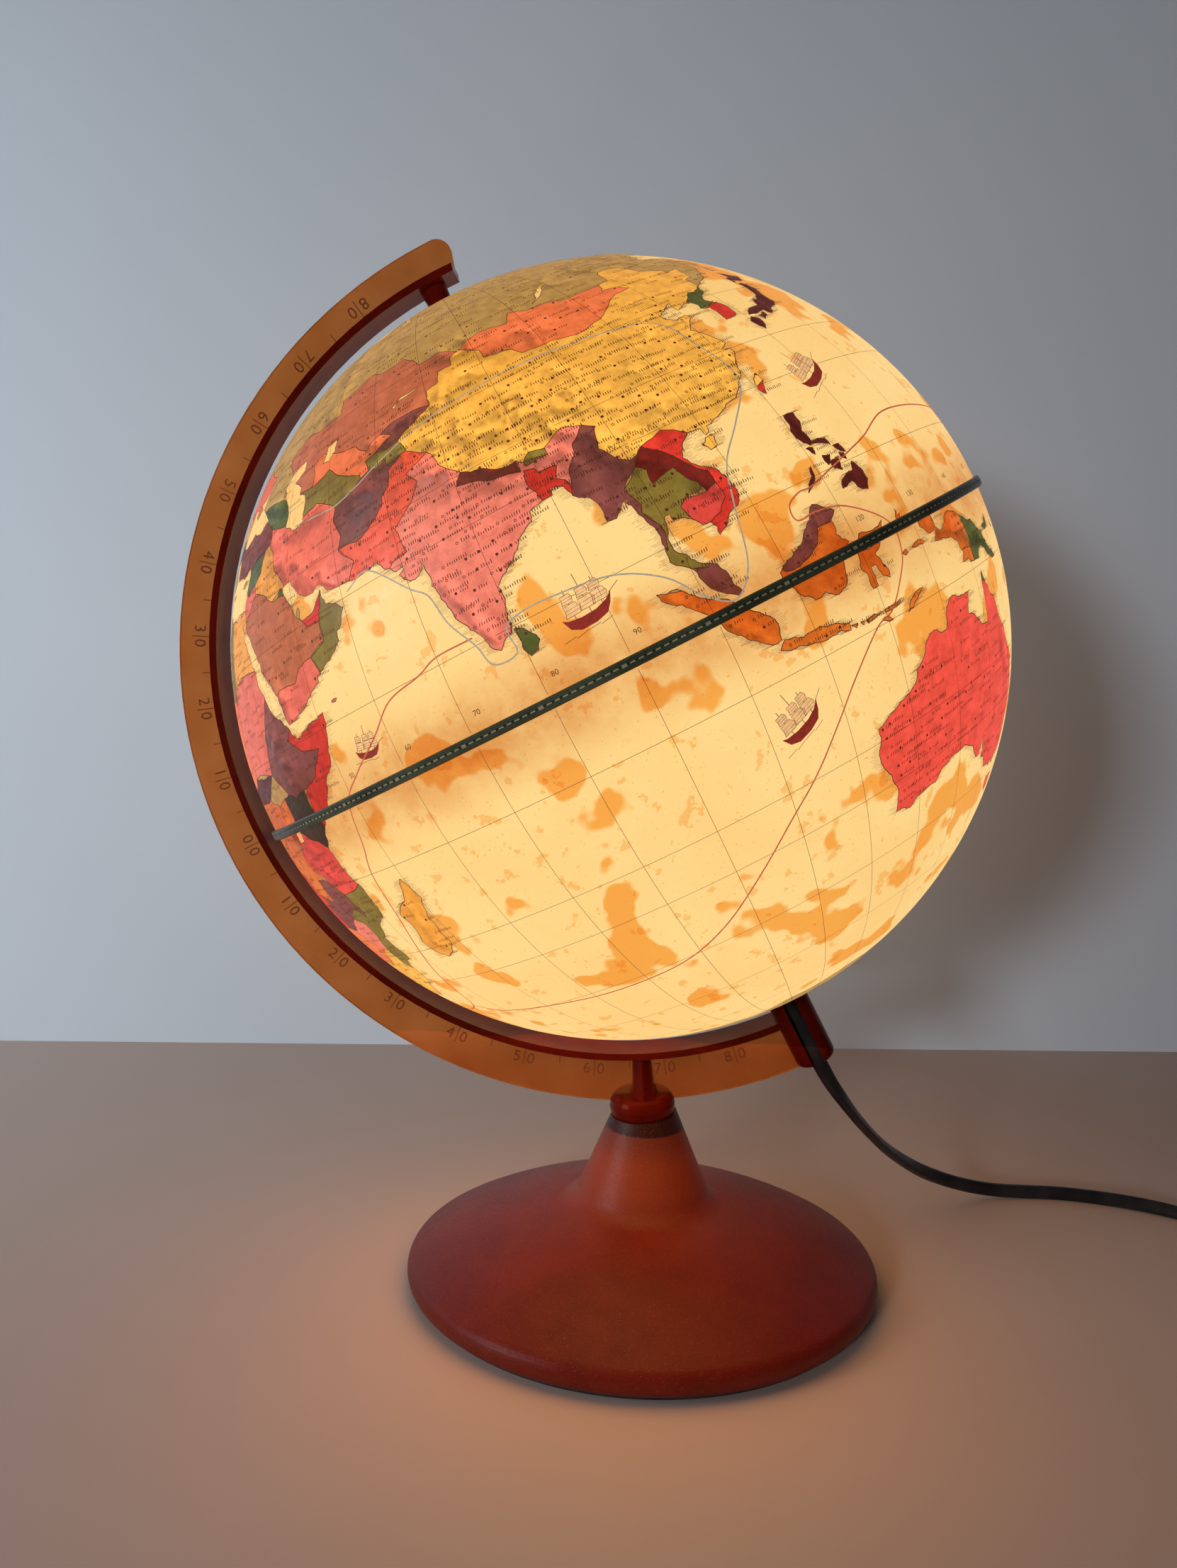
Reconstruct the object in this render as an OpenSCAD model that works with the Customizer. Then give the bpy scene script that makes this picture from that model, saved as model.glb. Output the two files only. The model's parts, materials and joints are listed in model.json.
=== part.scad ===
// Illuminated desktop globe on a leaning arm and a round moulded base, with its flat mains cord.
// Z is up and the table is at z = 0, with the base's own axis at x = y = 0.

/* [Globe] */
// Outer radius of the globe
ball_r = 125; // [124:0.5:126]
// Wall of the two moulded hemispheres
ball_wall = 1.6; // [1.2:0.1:2]
// Half height of the equator ring's raised bead
ring_half = 1.55; // [1.4:0.05:2]
// How far the equator ring stands proud of the globe
ring_proud = 1.6; // [1:0.1:2]
// Radius of the service hole at the south pole
service_r = 15; // [14:0.5:16]
// Tilt of the polar axis from the arm's upright
axis_tilt = 23.5; // [22:0.5:25]

/* [Arm] */
// Inner radius of the arm's rail, around the globe's centre
rail_in_r = 135.2; // [134.5:0.1:135.8]
// Radial thickness of the rail
rail_t = 2.4; // [2:0.1:3]
// Width of the rail, across the plane of the arm
rail_w = 14; // [13:0.5:15]
// Outer radius of the degree flange
flange_r = 151.5; // [150:0.5:152]
// Thickness of the degree flange
flange_t = 2.2; // [1.8:0.1:2.6]
// How far the flange's centre sits below the globe's centre, along the polar axis
flange_drop = 3; // [2:0.5:4]
// Lean of the upright towards -X
lean_left = 4.5; // [3.5:0.1:5]
// Lean of the upright towards -Y
lean_front = 3.5; // [2.5:0.1:4]
// Height of the globe's centre above the lean's pivot, along the upright
ball_h = 168.5; // [168:0.1:169]
// Outer radius of the open cord channel at the arm's lower end
channel_r = 7.1; // [7:0.1:7.4]
// Width of the slot in that channel
slot_w = 4.4; // [4.2:0.1:4.8]

/* [Base] */
// Widest radius of the base
base_r = 82.4; // [82:0.1:84]
// Radius of the round edge
rim_round = 5; // [4.8:0.1:5.2]
// Radius of the shallow dome
dome_r = 168; // [166:1:170]
// Wall of the base
base_wall = 2.4; // [2:0.1:2.8]
// Radius of the neck where it meets the collar
neck_r = 11.4; // [11:0.1:11.8]
// Height of the neck
neck_z = 59.8; // [59.5:0.1:60]
// Widening of the neck for each millimetre down
neck_slope = 0.42; // [0.38:0.01:0.46]
// Radius of the hollow curve between neck and dome
flare_r = 9; // [8:0.5:10]

/* [Lamp] */
// Radius of the lamp's fixed stem, which the globe turns on
stem_r = 6.9; // [6.8:0.05:7]
// Radial running clearance of both bearings
run_gap = 0.06; // [0.04:0.01:0.08]
// Radius of the steel pivot at the north pole
pivot_r = 2; // [1.8:0.1:2.2]
// Largest radius of the bulb's glass
bulb_r = 12.5; // [11:0.5:13]

/* [Cord] */
// Width of the flat cord
cord_w = 5.4; // [5:0.1:5.6]
// Thickness of the flat cord
cord_t = 3.2; // [3:0.1:3.4]
// Radius of the coil at the middle of its turns
coil_r = 30; // [28:1:32]
// Turns beside each other in the coil
coil_wide = 3; // [3:1:3]
// Layers of turns in the coil
coil_high = 2; // [2:1:2]

/* [Switch and plug] */
// Length of the inline switch
switch_l = 58; // [56:1:60]
// Width of the inline switch
switch_w = 24; // [22:1:26]
// Height of the inline switch
switch_h = 17; // [16:0.5:18]
// Radius of each plug pin
pin_r = 2; // [2:0.1:2]
// Length of each plug pin
pin_l = 19; // [19:1:19]
// Distance between the plug pins
pin_gap = 18.6; // [17.5:0.1:19]

/* [Hidden] */
$fn = 96;
pivot_z = 50;             // the lean's pivot, inside the neck
eps = 0.02;

// collar and spigot of the arm, in the leaning frame
seat_z = 9.5;             // the neck's top face
web_z = -1.5;             // underside of the neck's solid top
spigot_r = 6;
collar_top = 17;
screw_r = 1.75;

// south end, along the polar axis
channel_end = -155;
channel_top = -128.8;
channel_bore = 5.4;
shoulder_top = -127.1;
holder_foot = -112;
thread_top = -80;

// north end
boss_foot = 128;

// coil, switch and plug on the table
coil_x = 220;
coil_y = -70;
coil_z = 0.9;
run_x = 253;              // the line of the switch and the plug
switch_y = -12;
plug_y = -126;
plug_z = 6.85;
plug_face = 36;           // the plug's front face, along its own x
pin_root_r = 1.5;
mid_z = switch_h / 2;
rocker_tip = 8;           // degrees either side of level

// free route from the stem's mouth to the switch: x, y, z and roll of the flat section
ROUTE_LAMP = [
    [45.3, -5.7, 107.8, 90], [49, -5.3, 101, 90], [53, -5, 93.5, 90], [56.5, -4.6, 87, 90],
    [60, -4, 80.5, 88], [64.5, -1.5, 73, 80], [70, 4, 65, 68], [76, 12, 56.5, 56],
    [83, 21.5, 47.5, 48], [91, 33, 38, 47], [100, 45.5, 29, 52], [110, 57.5, 20.5, 65],
    [121.5, 68.5, 13, 80], [134, 77, 7.2, 90], [147, 82, 3.8, 90], [160, 84, 2.8, 90],
    [174, 84, 2.75, 90], [188, 81.5, 2.75, 90], [201.5, 77, 2.85, 75], [214.5, 71, 2.6, 45],
    [226.5, 63.5, 2.1, 15], [237, 54, 1.9, 0], [245, 42.5, 2.6, 0], [250.3, 31, 5.3, 0],
    [252.6, 22.5, 8.1, 0], [253, 18, 8.5, 0], [253, 13, 8.5, 0]];
// from the switch into the coil, and from the coil to the plug
ROUTE_LEAD = [[253, -37, 8.5, 0], [253, -42, 8.5, 0], [253, -46, 7.4, 30], [253.2, -51, 5.2, 60],
    [253.1, -57, 3.7, 88]];
ROUTE_TAIL = [[253.1, -83, 9, 88], [253, -87, 8.6, 60], [253, -91, 7.7, 30], [253, -95.5, 6.9, 0],
    [253, -101, 6.85, 0]];

function unit(v) = v / norm(v);
function arc(c, r, a0, a1, n) = [for (i = [0:n]) let (a = a0 + (a1 - a0) * i / n) c + r * [cos(a), sin(a)]];
function angle_of(v) = atan2(v[1], v[0]);

// ---- base profile: a neck cone, a hollow curve, a shallow dome and a round edge, at an inset ----
dome_c = [0, 28 - sqrt(dome_r * dome_r - 29 * 29)];
neck_dir = unit([neck_slope, -1]);
neck_out = [-neck_dir[1], neck_dir[0]];
rim_c = let (x = base_r - rim_round, d = dome_r - rim_round) [x, dome_c[1] + sqrt(d * d - x * x)];
lip_r = 74.5;
lip_z = 1.2;
function flare_c(in) = let (f = flare_r + in, p = [neck_r, neck_z] - in * neck_out + f * neck_out - dome_c,
    b = p * neck_dir, s = -b - sqrt(b * b - (p * p - pow(dome_r - in + f, 2)))) dome_c + p + s * neck_dir;
function skin(in) = let (c = flare_c(in), a0 = 180 + angle_of(neck_out), a1 = 180 + angle_of(c - dome_c),
    b0 = angle_of(c - dome_c), b1 = angle_of(rim_c - dome_c), top = [neck_r, neck_z] - in * neck_out)
    concat([top - 4 * neck_dir], arc(c, flare_r + in, a0, a1, 10), arc(dome_c, dome_r - in, b0, b1, 20));

module half_space_below(z) translate([-200, -200, z - 400]) cube([400, 400, 400]);

// the arm's leaning frame, with z along the upright, and the globe's frame, with z along the polar axis
module lean() translate([0, 0, pivot_z]) rotate([lean_front, 0, 0]) rotate([0, -lean_left, 0]) children();
module polar() lean() translate([0, 0, ball_h]) rotate([0, -axis_tilt, 0]) children();

// a ring or tube between two heights
module tube(r_out, r_in, z0, z1) translate([0, 0, z0]) difference() {
    cylinder(r = r_out, h = z1 - z0);
    translate([0, 0, -1]) cylinder(r = r_in, h = z1 - z0 + 2);
}

// ---- base ----
module base_shell() color("saddlebrown") difference() {
    rotate_extrude($fn = 180) polygon(concat([[0, neck_z + 5]], skin(0),
        arc(rim_c, rim_round, angle_of(rim_c - dome_c), -asin((rim_c[1] - lip_z) / rim_round), 14),
        [[0, lip_z]]));
    intersection() {
        rotate_extrude($fn = 180) polygon(concat([[0, neck_z + 5]],
            [for (p = skin(base_wall)) if (p[0] < lip_r) p], [[lip_r, 9.9], [lip_r, 0], [0, 0]]));
        lean() half_space_below(web_z);
    }
    lean() translate([0, 0, seat_z]) cylinder(r = 40, h = 30);
    lean() translate([0, 0, -20]) cylinder(r = spigot_r + 0.05, h = 60);
    tube(78.2, 75.2, 0, 2.1);
}

module foot_ring() color("dimgray") tube(78.15, 75.25, 0, 2.05);

module arm_washer() color("silver") lean() tube(9, screw_r + 0.2, web_z - 1.3, web_z - 0.02);

module arm_screw() color("silver") lean() difference() {
    union() {
        translate([0, 0, web_z - 1.3]) cylinder(r = screw_r, h = 11);
        translate([0, 0, web_z - 3.7]) cylinder(r1 = 3.2, r2 = 3.7, h = 2.38);
    }
    for (a = [0, 90]) rotate([0, 0, a]) translate([-1.8, -0.35, web_z - 4]) cube([3.6, 0.7, 1.5]);
}

// ---- arm ----
end_dir = [sin(16.5), cos(16.5)];        // the north end's cut, in the arm's plane
end_p = [7.2, 130.3];
end_in = [-end_dir[1], end_dir[0]];
corner_r = 5;
corner_c = let (w = end_p + corner_r * end_in + [0, flange_drop], b = w * end_dir)
    end_p + corner_r * end_in + (-b + sqrt(b * b - (w * w - pow(flange_r - corner_r, 2)))) * end_dir;

module arm_side() polygon([[0, 0], end_p - 40 * end_dir, end_p + 60 * end_dir,
    [-220, 190], [-220, -190], [0, -190]]);
module annulus(r_out, r_in, drop) translate([0, -drop]) difference() {
    circle(r = r_out, $fn = 360);
    translate([0, drop]) circle(r = r_in, $fn = 360);
}
module flange_shape() difference() {
    intersection() {
        annulus(flange_r, rail_in_r + 1, flange_drop);
        arm_side();
    }
    difference() {
        polygon([corner_c, corner_c - (corner_r + 2) * end_in,
            corner_c - (corner_r + 2) * end_in + 12 * end_dir,
            corner_c + (corner_r + 12) * unit(corner_c + [0, flange_drop])]);
        translate(corner_c) circle(r = corner_r + 0.03, $fn = 48);
    }
}
module across(w) rotate([90, 0, 0]) translate([0, 0, -w / 2]) linear_extrude(w) children();

module meridian_arm() color("firebrick") difference() {
    union() {
        polar() across(flange_t) flange_shape();
        polar() across(rail_w) intersection() {
            annulus(rail_in_r + rail_t, rail_in_r, 0);
            arm_side();
        }
        polar() rotate_extrude() polygon(concat([[0, channel_top], [channel_r, channel_top]],
            arc([channel_r - 2.5, channel_end + 2.5], 2.5, 0, -90, 8), [[0, channel_end]]));
        polar() translate([0, 0, boss_foot]) cylinder(r1 = 3.8, r2 = 4.6, h = rail_in_r - boss_foot + 1.2);
        lean() post();
        lean() rotate_extrude() polygon(concat([[0, seat_z], [10.7, seat_z], [11.2, 10.6], [11.5, 12.8],
            [11.3, 14.6], [10.7, 16]], [[9.7, collar_top], [0, collar_top]]));
        lean() translate([0, 0, web_z]) cylinder(r = spigot_r, h = seat_z - web_z + 1);
    }
    polar() translate([0, 0, channel_end - 5]) cylinder(r = channel_bore, h = 40);
    polar() translate([-slot_w / 2, -20, channel_end - 5]) cube([slot_w, 20, 40]);
    polar() translate([0, 0, boss_foot - 1]) cylinder(r = pivot_r, h = 10.4);
    lean() translate([0, 0, web_z - 1]) cylinder(r = screw_r, h = 10.7);
}

// a ridged post between the rail and the collar, spreading at its foot
function post_ring(hw, d) = [[hw, 0], [hw * 0.85, d * 0.55], [0.3, d], [-0.3, d], [-hw * 0.85, d * 0.55],
    [-hw, 0], [-hw * 0.85, -d * 0.55], [-0.3, -d], [0.3, -d], [hw * 0.85, -d * 0.55]];
module slab(hw, d, z) translate([0.6, 0, z]) linear_extrude(0.1) polygon(post_ring(hw, d));
module post() {
    hull() {
        slab(3.3, 6, ball_h - rail_in_r - rail_t);
        slab(3.9, 8, collar_top + 3);
    }
    hull() {
        slab(3.9, 8, collar_top + 3);
        slab(5.2, 9.6, collar_top - 0.5);
    }
}

module pivot_pin() color("silver") polar() union() {
    translate([0, 0, 119]) cylinder(r = pivot_r, h = 18.3);
    translate([0, 0, 118.2]) cylinder(r1 = pivot_r - 0.7, r2 = pivot_r, h = 0.8);
}

// ---- globe ----
module ball_half() difference() {
    sphere(r = ball_r, $fn = 180);
    sphere(r = ball_r - ball_wall, $fn = 180);
}
module north_hemisphere() color("khaki") polar() difference() {
    ball_half();
    translate([-200, -200, -400 + 1.2]) cube(400);
    cylinder(r = 4.5, h = 200);
}
module south_hemisphere() color("moccasin") polar() difference() {
    ball_half();
    translate([-200, -200, -1.2]) cube(400);
    translate([0, 0, -200]) cylinder(r = service_r, h = 200);
}

// H-shaped ring that joins the two hemispheres, with a raised grooved bead outside
module equator_ring() color("darkslategray") polar() rotate_extrude($fn = 180) polygon([
    [ball_r + 0.03, -ring_half], [ball_r + ring_proud - 0.4, -ring_half],
    [ball_r + ring_proud, -ring_half + 0.4], [ball_r + ring_proud, -0.35], [ball_r + ring_proud - 0.35, 0],
    [ball_r + ring_proud, 0.35], [ball_r + ring_proud, ring_half - 0.4],
    [ball_r + ring_proud - 0.4, ring_half], [ball_r + 0.03, ring_half],
    [ball_r + 0.03, 1.1], [ball_r - ball_wall - 0.25, 1.1], [ball_r - ball_wall - 0.25, 4.5],
    [ball_r - ball_wall - 1.6, 4.5], [ball_r - ball_wall - 1.6, -4.5], [ball_r - ball_wall - 0.25, -4.5],
    [ball_r - ball_wall - 0.25, -1.1], [ball_r + 0.03, -1.1]]);

module north_bush() color("burlywood") polar() difference() {
    union() {
        translate([0, 0, 120]) cylinder(r = 4.4, h = 6);
        translate([0, 0, ball_r + 0.05]) cylinder(r1 = 7.5, r2 = 6.9, h = 1.1);
        translate([0, 0, 120]) cylinder(r = 6.5, h = ball_r - ball_wall - 120.35);
    }
    cylinder(r = pivot_r + run_gap, h = 200);
}

module south_cap() color("wheat") polar() difference() {
    union() {
        intersection() {
            difference() {
                sphere(r = ball_r + 0.65, $fn = 180);
                sphere(r = ball_r + 0.05, $fn = 180);
            }
            translate([0, 0, -140]) cylinder(r = service_r + 1.6, h = 40);
        }
        translate([0, 0, -ball_r - 0.3]) cylinder(r = service_r - 0.06, h = 4);
    }
    translate([0, 0, -ball_r + 1.6]) cylinder(r = service_r - 1.8, h = 10);
    translate([0, 0, -200]) cylinder(r = stem_r + run_gap, h = 200);
}

// ---- lamp, fixed to the arm ----
module lamp_holder() color("ivory") polar() difference() {
    union() {
        tube(stem_r, channel_bore, shoulder_top - 0.5, holder_foot);
        tube(7.7, channel_bore, channel_top + 0.02, shoulder_top);
        tube(12, 4, holder_foot - 2.5, holder_foot);
        tube(12, 10, holder_foot - 1, thread_top - 4);
        intersection() {
            tube(channel_bore - 0.08, 3.9, channel_top - 11, channel_top + 0.5);
            translate([-10, 1.6, -200]) cube([20, 20, 200]);
        }
    }
}

module holder_insert() color("white") polar() difference() {
    union() {
        tube(9.95, 7.75, holder_foot + 0.02, thread_top - 8);
        tube(9.95, 3, holder_foot + 0.02, holder_foot + 4);
    }
    for (s = [-1, 1]) translate([5.5 * s, 0, holder_foot - 1]) cylinder(r = 1.25, h = 8);
}

module holder_thread() color("goldenrod") polar() tube(7.7, 7.35, holder_foot + 4.05, thread_top - 6);

module centre_contact() color("goldenrod") polar() union() {
    translate([-4, -1.2, holder_foot + 4.02]) cube([8, 2.4, 0.6]);
    translate([0, 0, holder_foot + 4.6]) cylinder(r1 = 1.6, r2 = 1, h = 1.6);
}

module terminal_screws() color("silver") polar() for (s = [-1, 1])
    translate([5.5 * s, 0, holder_foot + 0.04]) difference() {
        union() {
            cylinder(r = 1.2, h = 3.9);
            translate([0, 0, 3.95]) cylinder(r = 1.15, h = 1.2);
        }
        translate([-2, -0.2, 4.6]) cube([4, 0.4, 1]);
    }

module supply_cores() color("royalblue") polar() for (s = [-1, 1])
    translate([1.3 * s, -1, -121.5]) cylinder(r = 0.95, h = 11);

module cord_grip() color("black") polar() difference() {
    intersection() {
        tube(channel_bore - 0.1, 0.01, -124.5, -118);
        translate([-10, -10, -130]) cube([20, 20, 20]);
    }
    for (s = [-1, 1]) translate([1.3 * s, -1, -126]) cylinder(r = 1, h = 12);
}

module bulb_cap() color("silver") polar() union() {
    tube(7.3, 6.7, holder_foot + 8.5, thread_top + 1);
    translate([0, 0, holder_foot + 7.4]) cylinder(r1 = 4, r2 = 7.3, h = 1.2);
    translate([0, 0, holder_foot + 6.25]) cylinder(r = 2.2, h = 1.3);
}

module bulb_glass() color("white") polar() difference() {
    rotate_extrude() polygon(bulb_outline(0));
    rotate_extrude() polygon(bulb_outline(0.8));
}
function bulb_outline(in) = let (r = bulb_r - in, top = thread_top + 1.05 + in)
    concat([[0, top], [6.5 - in, top], [6.9 - in, thread_top + 4]],
        [for (i = [0:6]) let (t = i / 6)
            [6.9 - in + (bulb_r - 6.9) * (3 * t * t - 2 * t * t * t), thread_top + 4 + 12 * t]],
        arc([0, thread_top + 34], r, 0, 82, 12), [[0, thread_top + 34 + r]]);

module bulb_filament() color("gold") polar() union() {
    translate([0, 0, thread_top + 2]) cylinder(r1 = 3, r2 = 1.6, h = 12);
    for (s = [-1, 1]) translate([s, 0, thread_top + 13.5]) rotate([0, 18 * s, 0]) cylinder(r = 0.3, h = 14);
    translate([-5.4, 0, thread_top + 27]) rotate([0, 90, 0]) cylinder(r = 0.6, h = 10.8);
}

// ---- cord: a flat section swept along its route ----
function section(n) = [for (i = [0:n - 1]) let (a = 360 * i / n)
    [sign(cos(a)) * pow(abs(cos(a)), 0.7) * cord_w / 2, sign(sin(a)) * pow(abs(sin(a)), 0.7) * cord_t / 2]];
function place(p) = [p[0], p[1], p[2]];
function heading(path, i) = unit(place(path[min(i + 1, len(path) - 1)]) - place(path[max(i - 1, 0)]));
function ring_at(path, i) = let (t = heading(path, i), w = unit(cross([0, 0, 1], t)), u = cross(t, w),
    c = cos(path[i][3]), s = sin(path[i][3]))
    [for (q = section(12)) place(path[i]) + (q[0] * c - q[1] * s) * w + (q[0] * s + q[1] * c) * u];
module cord_tube(path) {
    n = len(path);
    k = 12;
    points = [for (i = [0:n - 1]) each ring_at(path, i)];
    sides = [for (i = [0:n - 2]) for (j = [0:k - 1]) let (a = i * k + j, b = i * k + (j + 1) % k)
        each [[a, a + k, b], [b, a + k, b + k]]];
    ends = [[for (j = [0:k - 1]) j], [for (j = [k - 1:-1:0]) (n - 1) * k + j]];
    polyhedron(points, concat(sides, ends));
}
module mains_cord() color("black") cord_tube(ROUTE_LAMP);
module cord_lead() color("black") cord_tube(ROUTE_LEAD);
module cord_tail() color("black") cord_tube(ROUTE_TAIL);

pile_w = coil_wide * (cord_t + 0.3);
pile_h = coil_high * cord_w;
module cord_coil() color("black") translate([coil_x, coil_y, coil_z]) rotate_extrude()
    polygon([[coil_r - pile_w / 2, 1], [coil_r - pile_w / 2 + 1, 0], [coil_r + pile_w / 2 - 1, 0],
        [coil_r + pile_w / 2, 1], [coil_r + pile_w / 2, pile_h - 1], [coil_r + pile_w / 2 - 1, pile_h],
        [coil_r - pile_w / 2 + 1, pile_h], [coil_r - pile_w / 2, pile_h - 1]]);

module cord_tie() color("dimgray") translate([coil_x, coil_y - coil_r, 0]) rotate([90, 0, 90])
    translate([0, 0, -4]) linear_extrude(8) difference() {
        translate([-pile_w / 2 - 1.1, 0]) square([pile_w + 2.2, pile_h + 2 * coil_z]);
        translate([-pile_w / 2 - 0.35, coil_z - 0.1]) square([pile_w + 0.7, pile_h + 0.2]);
    }

// ---- inline switch: its x runs along the cord, away from the lamp ----
module on_switch() translate([run_x, switch_y, 0]) rotate([0, 0, -90]) children();
module switch_outline(in) intersection() {
    square([switch_l - 2 * in, switch_w - 2 * in], center = true);
    circle(r = switch_l / 2 - in, $fn = 120);
}
module cord_way() translate([-50, -cord_w / 2 - 0.35, mid_z - cord_t / 2 - 0.35])
    cube([100, cord_w + 0.7, cord_t + 0.7]);

module switch_base() color("black") on_switch() difference() {
    union() {
        difference() {
            linear_extrude(mid_z - 0.03) switch_outline(0);
            translate([0, 0, 2]) linear_extrude(mid_z) switch_outline(2);
        }
        for (s = [-1, 1]) translate([17 * s, 7 * s, 1]) cylinder(r = 3.3, h = mid_z - 1.03);
    }
    cord_way();
    for (s = [-1, 1]) translate([17 * s, 7 * s, -1]) {
        cylinder(r = 1.5, h = 20);
        cylinder(r = 2.8, h = 3.2);
    }
}

module switch_cover() color("black") on_switch() difference() {
    union() {
        difference() {
            translate([0, 0, mid_z]) linear_extrude(switch_h - mid_z) switch_outline(0);
            translate([0, 0, mid_z - 1]) linear_extrude(switch_h - mid_z - 1) switch_outline(2);
        }
        for (s = [-1, 1]) translate([17 * s, 7 * s, mid_z]) cylinder(r = 3.3, h = switch_h - mid_z - 1);
        for (s = [-1, 1]) translate([-3, s * 6.5 - 1, 11]) cube([6, 2, switch_h - 12]);
    }
    cord_way();
    translate([-9, -5, mid_z]) cube([18, 10, 20]);
    translate([0, 20, 13.4]) rotate([90, 0, 0]) cylinder(r = 1.2, h = 40);
    for (s = [-1, 1]) translate([17 * s, 7 * s, mid_z - 1]) cylinder(r = 1.2, h = 5);
}

// the rocker stands in its on position, tipped away from the lamp's side
module switch_rocker() color("dimgray") on_switch()
    translate([0, 0, 13.4]) rotate([0, rocker_tip, 0]) translate([0, 0, -13.4]) difference() {
        translate([0, 4.6, 0]) rotate([90, 0, 0]) linear_extrude(9.2) polygon(concat([[-7.7, 14.6]],
            [[-4, 10.6], [4, 10.6], [7.7, 14.6]], arc([0, 42.6], 24.5, -71.7, -108.3, 12)));
        translate([0, 20, 13.4]) rotate([90, 0, 0]) cylinder(r = 1.26, h = 40);
    }

module rocker_pin() color("silver") on_switch() translate([0, 7.4, 13.4]) rotate([90, 0, 0])
    cylinder(r = 1.2, h = 14.8);

module switch_contacts() color("goldenrod") on_switch() for (s = [-1, 1]) union() {
    translate([s * 13 - 4, -3, 2.05]) cube([8, 6, 1.2]);
    translate([s * 10 - 1, -2, 3.2]) cube([2, 4, 3]);
}

module switch_screws() color("silver") on_switch() for (s = [-1, 1]) translate([17 * s, 7 * s, 0.4])
    difference() {
    union() {
        cylinder(r = 1.2, h = 11);
        cylinder(r = 2.6, h = 1.75);
    }
    translate([-3, -0.3, -0.5]) cube([6, 0.6, 1.2]);
}

// ---- two-pin plug: its x runs along the pins ----
module on_plug() translate([run_x, plug_y, plug_z]) rotate([0, 0, -90]) children();
module plate(x, w, h) translate([x, 0, 0]) rotate([90, 0, 90]) linear_extrude(0.4) intersection() {
    square([w, h], center = true);
    scale([1, 1]) circle(r = w / 2 + 0.35, $fn = 48);
}
module plug_body() color("black") on_plug() difference() {
    union() {
        hull() {
            plate(0, 20, 11);
            plate(5, 27, 13.7);
            plate(14, 26, 13.7);
        }
        hull() {
            plate(14, 26, 13.7);
            plate(26, 35.3, 13.7);
            plate(35.6, 35.3, 13.7);
        }
        hull() {
            plate(-25, 7.2, 5);
            plate(1, 12, 9);
        }
    }
    for (s = [-1, 1]) translate([25, s * pin_gap / 2, 0]) rotate([0, 90, 0]) cylinder(r = pin_root_r, h = 20);
}

module plug_pins() color("silver") on_plug() for (s = [-1, 1])
    translate([plug_face, s * pin_gap / 2, 0]) rotate([0, 90, 0]) union() {
        translate([0, 0, -10.5]) cylinder(r = pin_root_r - 0.01, h = 11);
        translate([0, 0, 0.01]) cylinder(r = pin_r, h = pin_l - 0.71);
        translate([0, 0, pin_l - 0.7]) cylinder(r1 = pin_r, r2 = pin_r - 0.8, h = 0.7);
    }

base_shell();
foot_ring();
arm_screw();
arm_washer();
meridian_arm();
pivot_pin();
north_hemisphere();
south_hemisphere();
equator_ring();
north_bush();
south_cap();
lamp_holder();
holder_insert();
holder_thread();
centre_contact();
terminal_screws();
supply_cores();
cord_grip();
bulb_glass();
bulb_cap();
bulb_filament();
mains_cord();
switch_base();
switch_cover();
switch_rocker();
rocker_pin();
switch_contacts();
switch_screws();
cord_lead();
cord_coil();
cord_tie();
cord_tail();
plug_body();
plug_pins();
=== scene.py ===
import json
import math
import random

import bpy
import numpy as np
from mathutils import Matrix, Vector
from mathutils.geometry import delaunay_2d_cdt


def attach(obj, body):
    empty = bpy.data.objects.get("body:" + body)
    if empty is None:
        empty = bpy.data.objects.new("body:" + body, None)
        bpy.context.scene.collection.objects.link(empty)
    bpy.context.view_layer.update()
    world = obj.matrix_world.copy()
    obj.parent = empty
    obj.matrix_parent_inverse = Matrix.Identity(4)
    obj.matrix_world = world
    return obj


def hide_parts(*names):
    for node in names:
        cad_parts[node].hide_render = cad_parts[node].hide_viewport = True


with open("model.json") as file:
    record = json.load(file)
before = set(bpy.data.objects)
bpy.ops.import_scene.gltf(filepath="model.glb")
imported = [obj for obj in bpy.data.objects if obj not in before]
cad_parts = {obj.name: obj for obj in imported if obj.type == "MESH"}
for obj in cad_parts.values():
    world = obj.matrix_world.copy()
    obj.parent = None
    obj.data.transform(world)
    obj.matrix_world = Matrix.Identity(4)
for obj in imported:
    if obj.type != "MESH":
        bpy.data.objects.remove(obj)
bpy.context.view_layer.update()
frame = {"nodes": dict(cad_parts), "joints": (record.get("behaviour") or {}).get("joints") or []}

# A desktop globe, lit from inside. The CAD solids get their materials here, and this script adds the printed
# skin of the ball, the inks on it, the marks on the arm and the ring, and the flat cord. Lengths are in
# millimetres from the frame's origin or the ball's centre, until MM turns them into metres.
MM = 0.001
NODES = frame["nodes"]
SPIN = next(j for j in frame["joints"] if j["name"] == "globe_spin")
CENTRE = np.array(SPIN["pos_m"])                       # the ball's centre
NORTH = np.array(SPIN["axis"]) / np.linalg.norm(SPIN["axis"])   # the polar axis
SIDE = np.cross(NORTH, (1.0, 0.0, 0.0))
SIDE /= np.linalg.norm(SIDE)                           # square to the arm's plane
ACROSS = np.cross(SIDE, NORTH)                         # in the arm's plane, away from the arm

CAMERA_AT = (-0.0015, -0.4226, 0.2054)                 # metres
CAMERA_TURN = (-2.88, 4.12, 1.39)                      # yaw, pitch and roll in degrees
CAMERA_LENS, CAMERA_SENSOR = 28.0, 36.0


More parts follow.
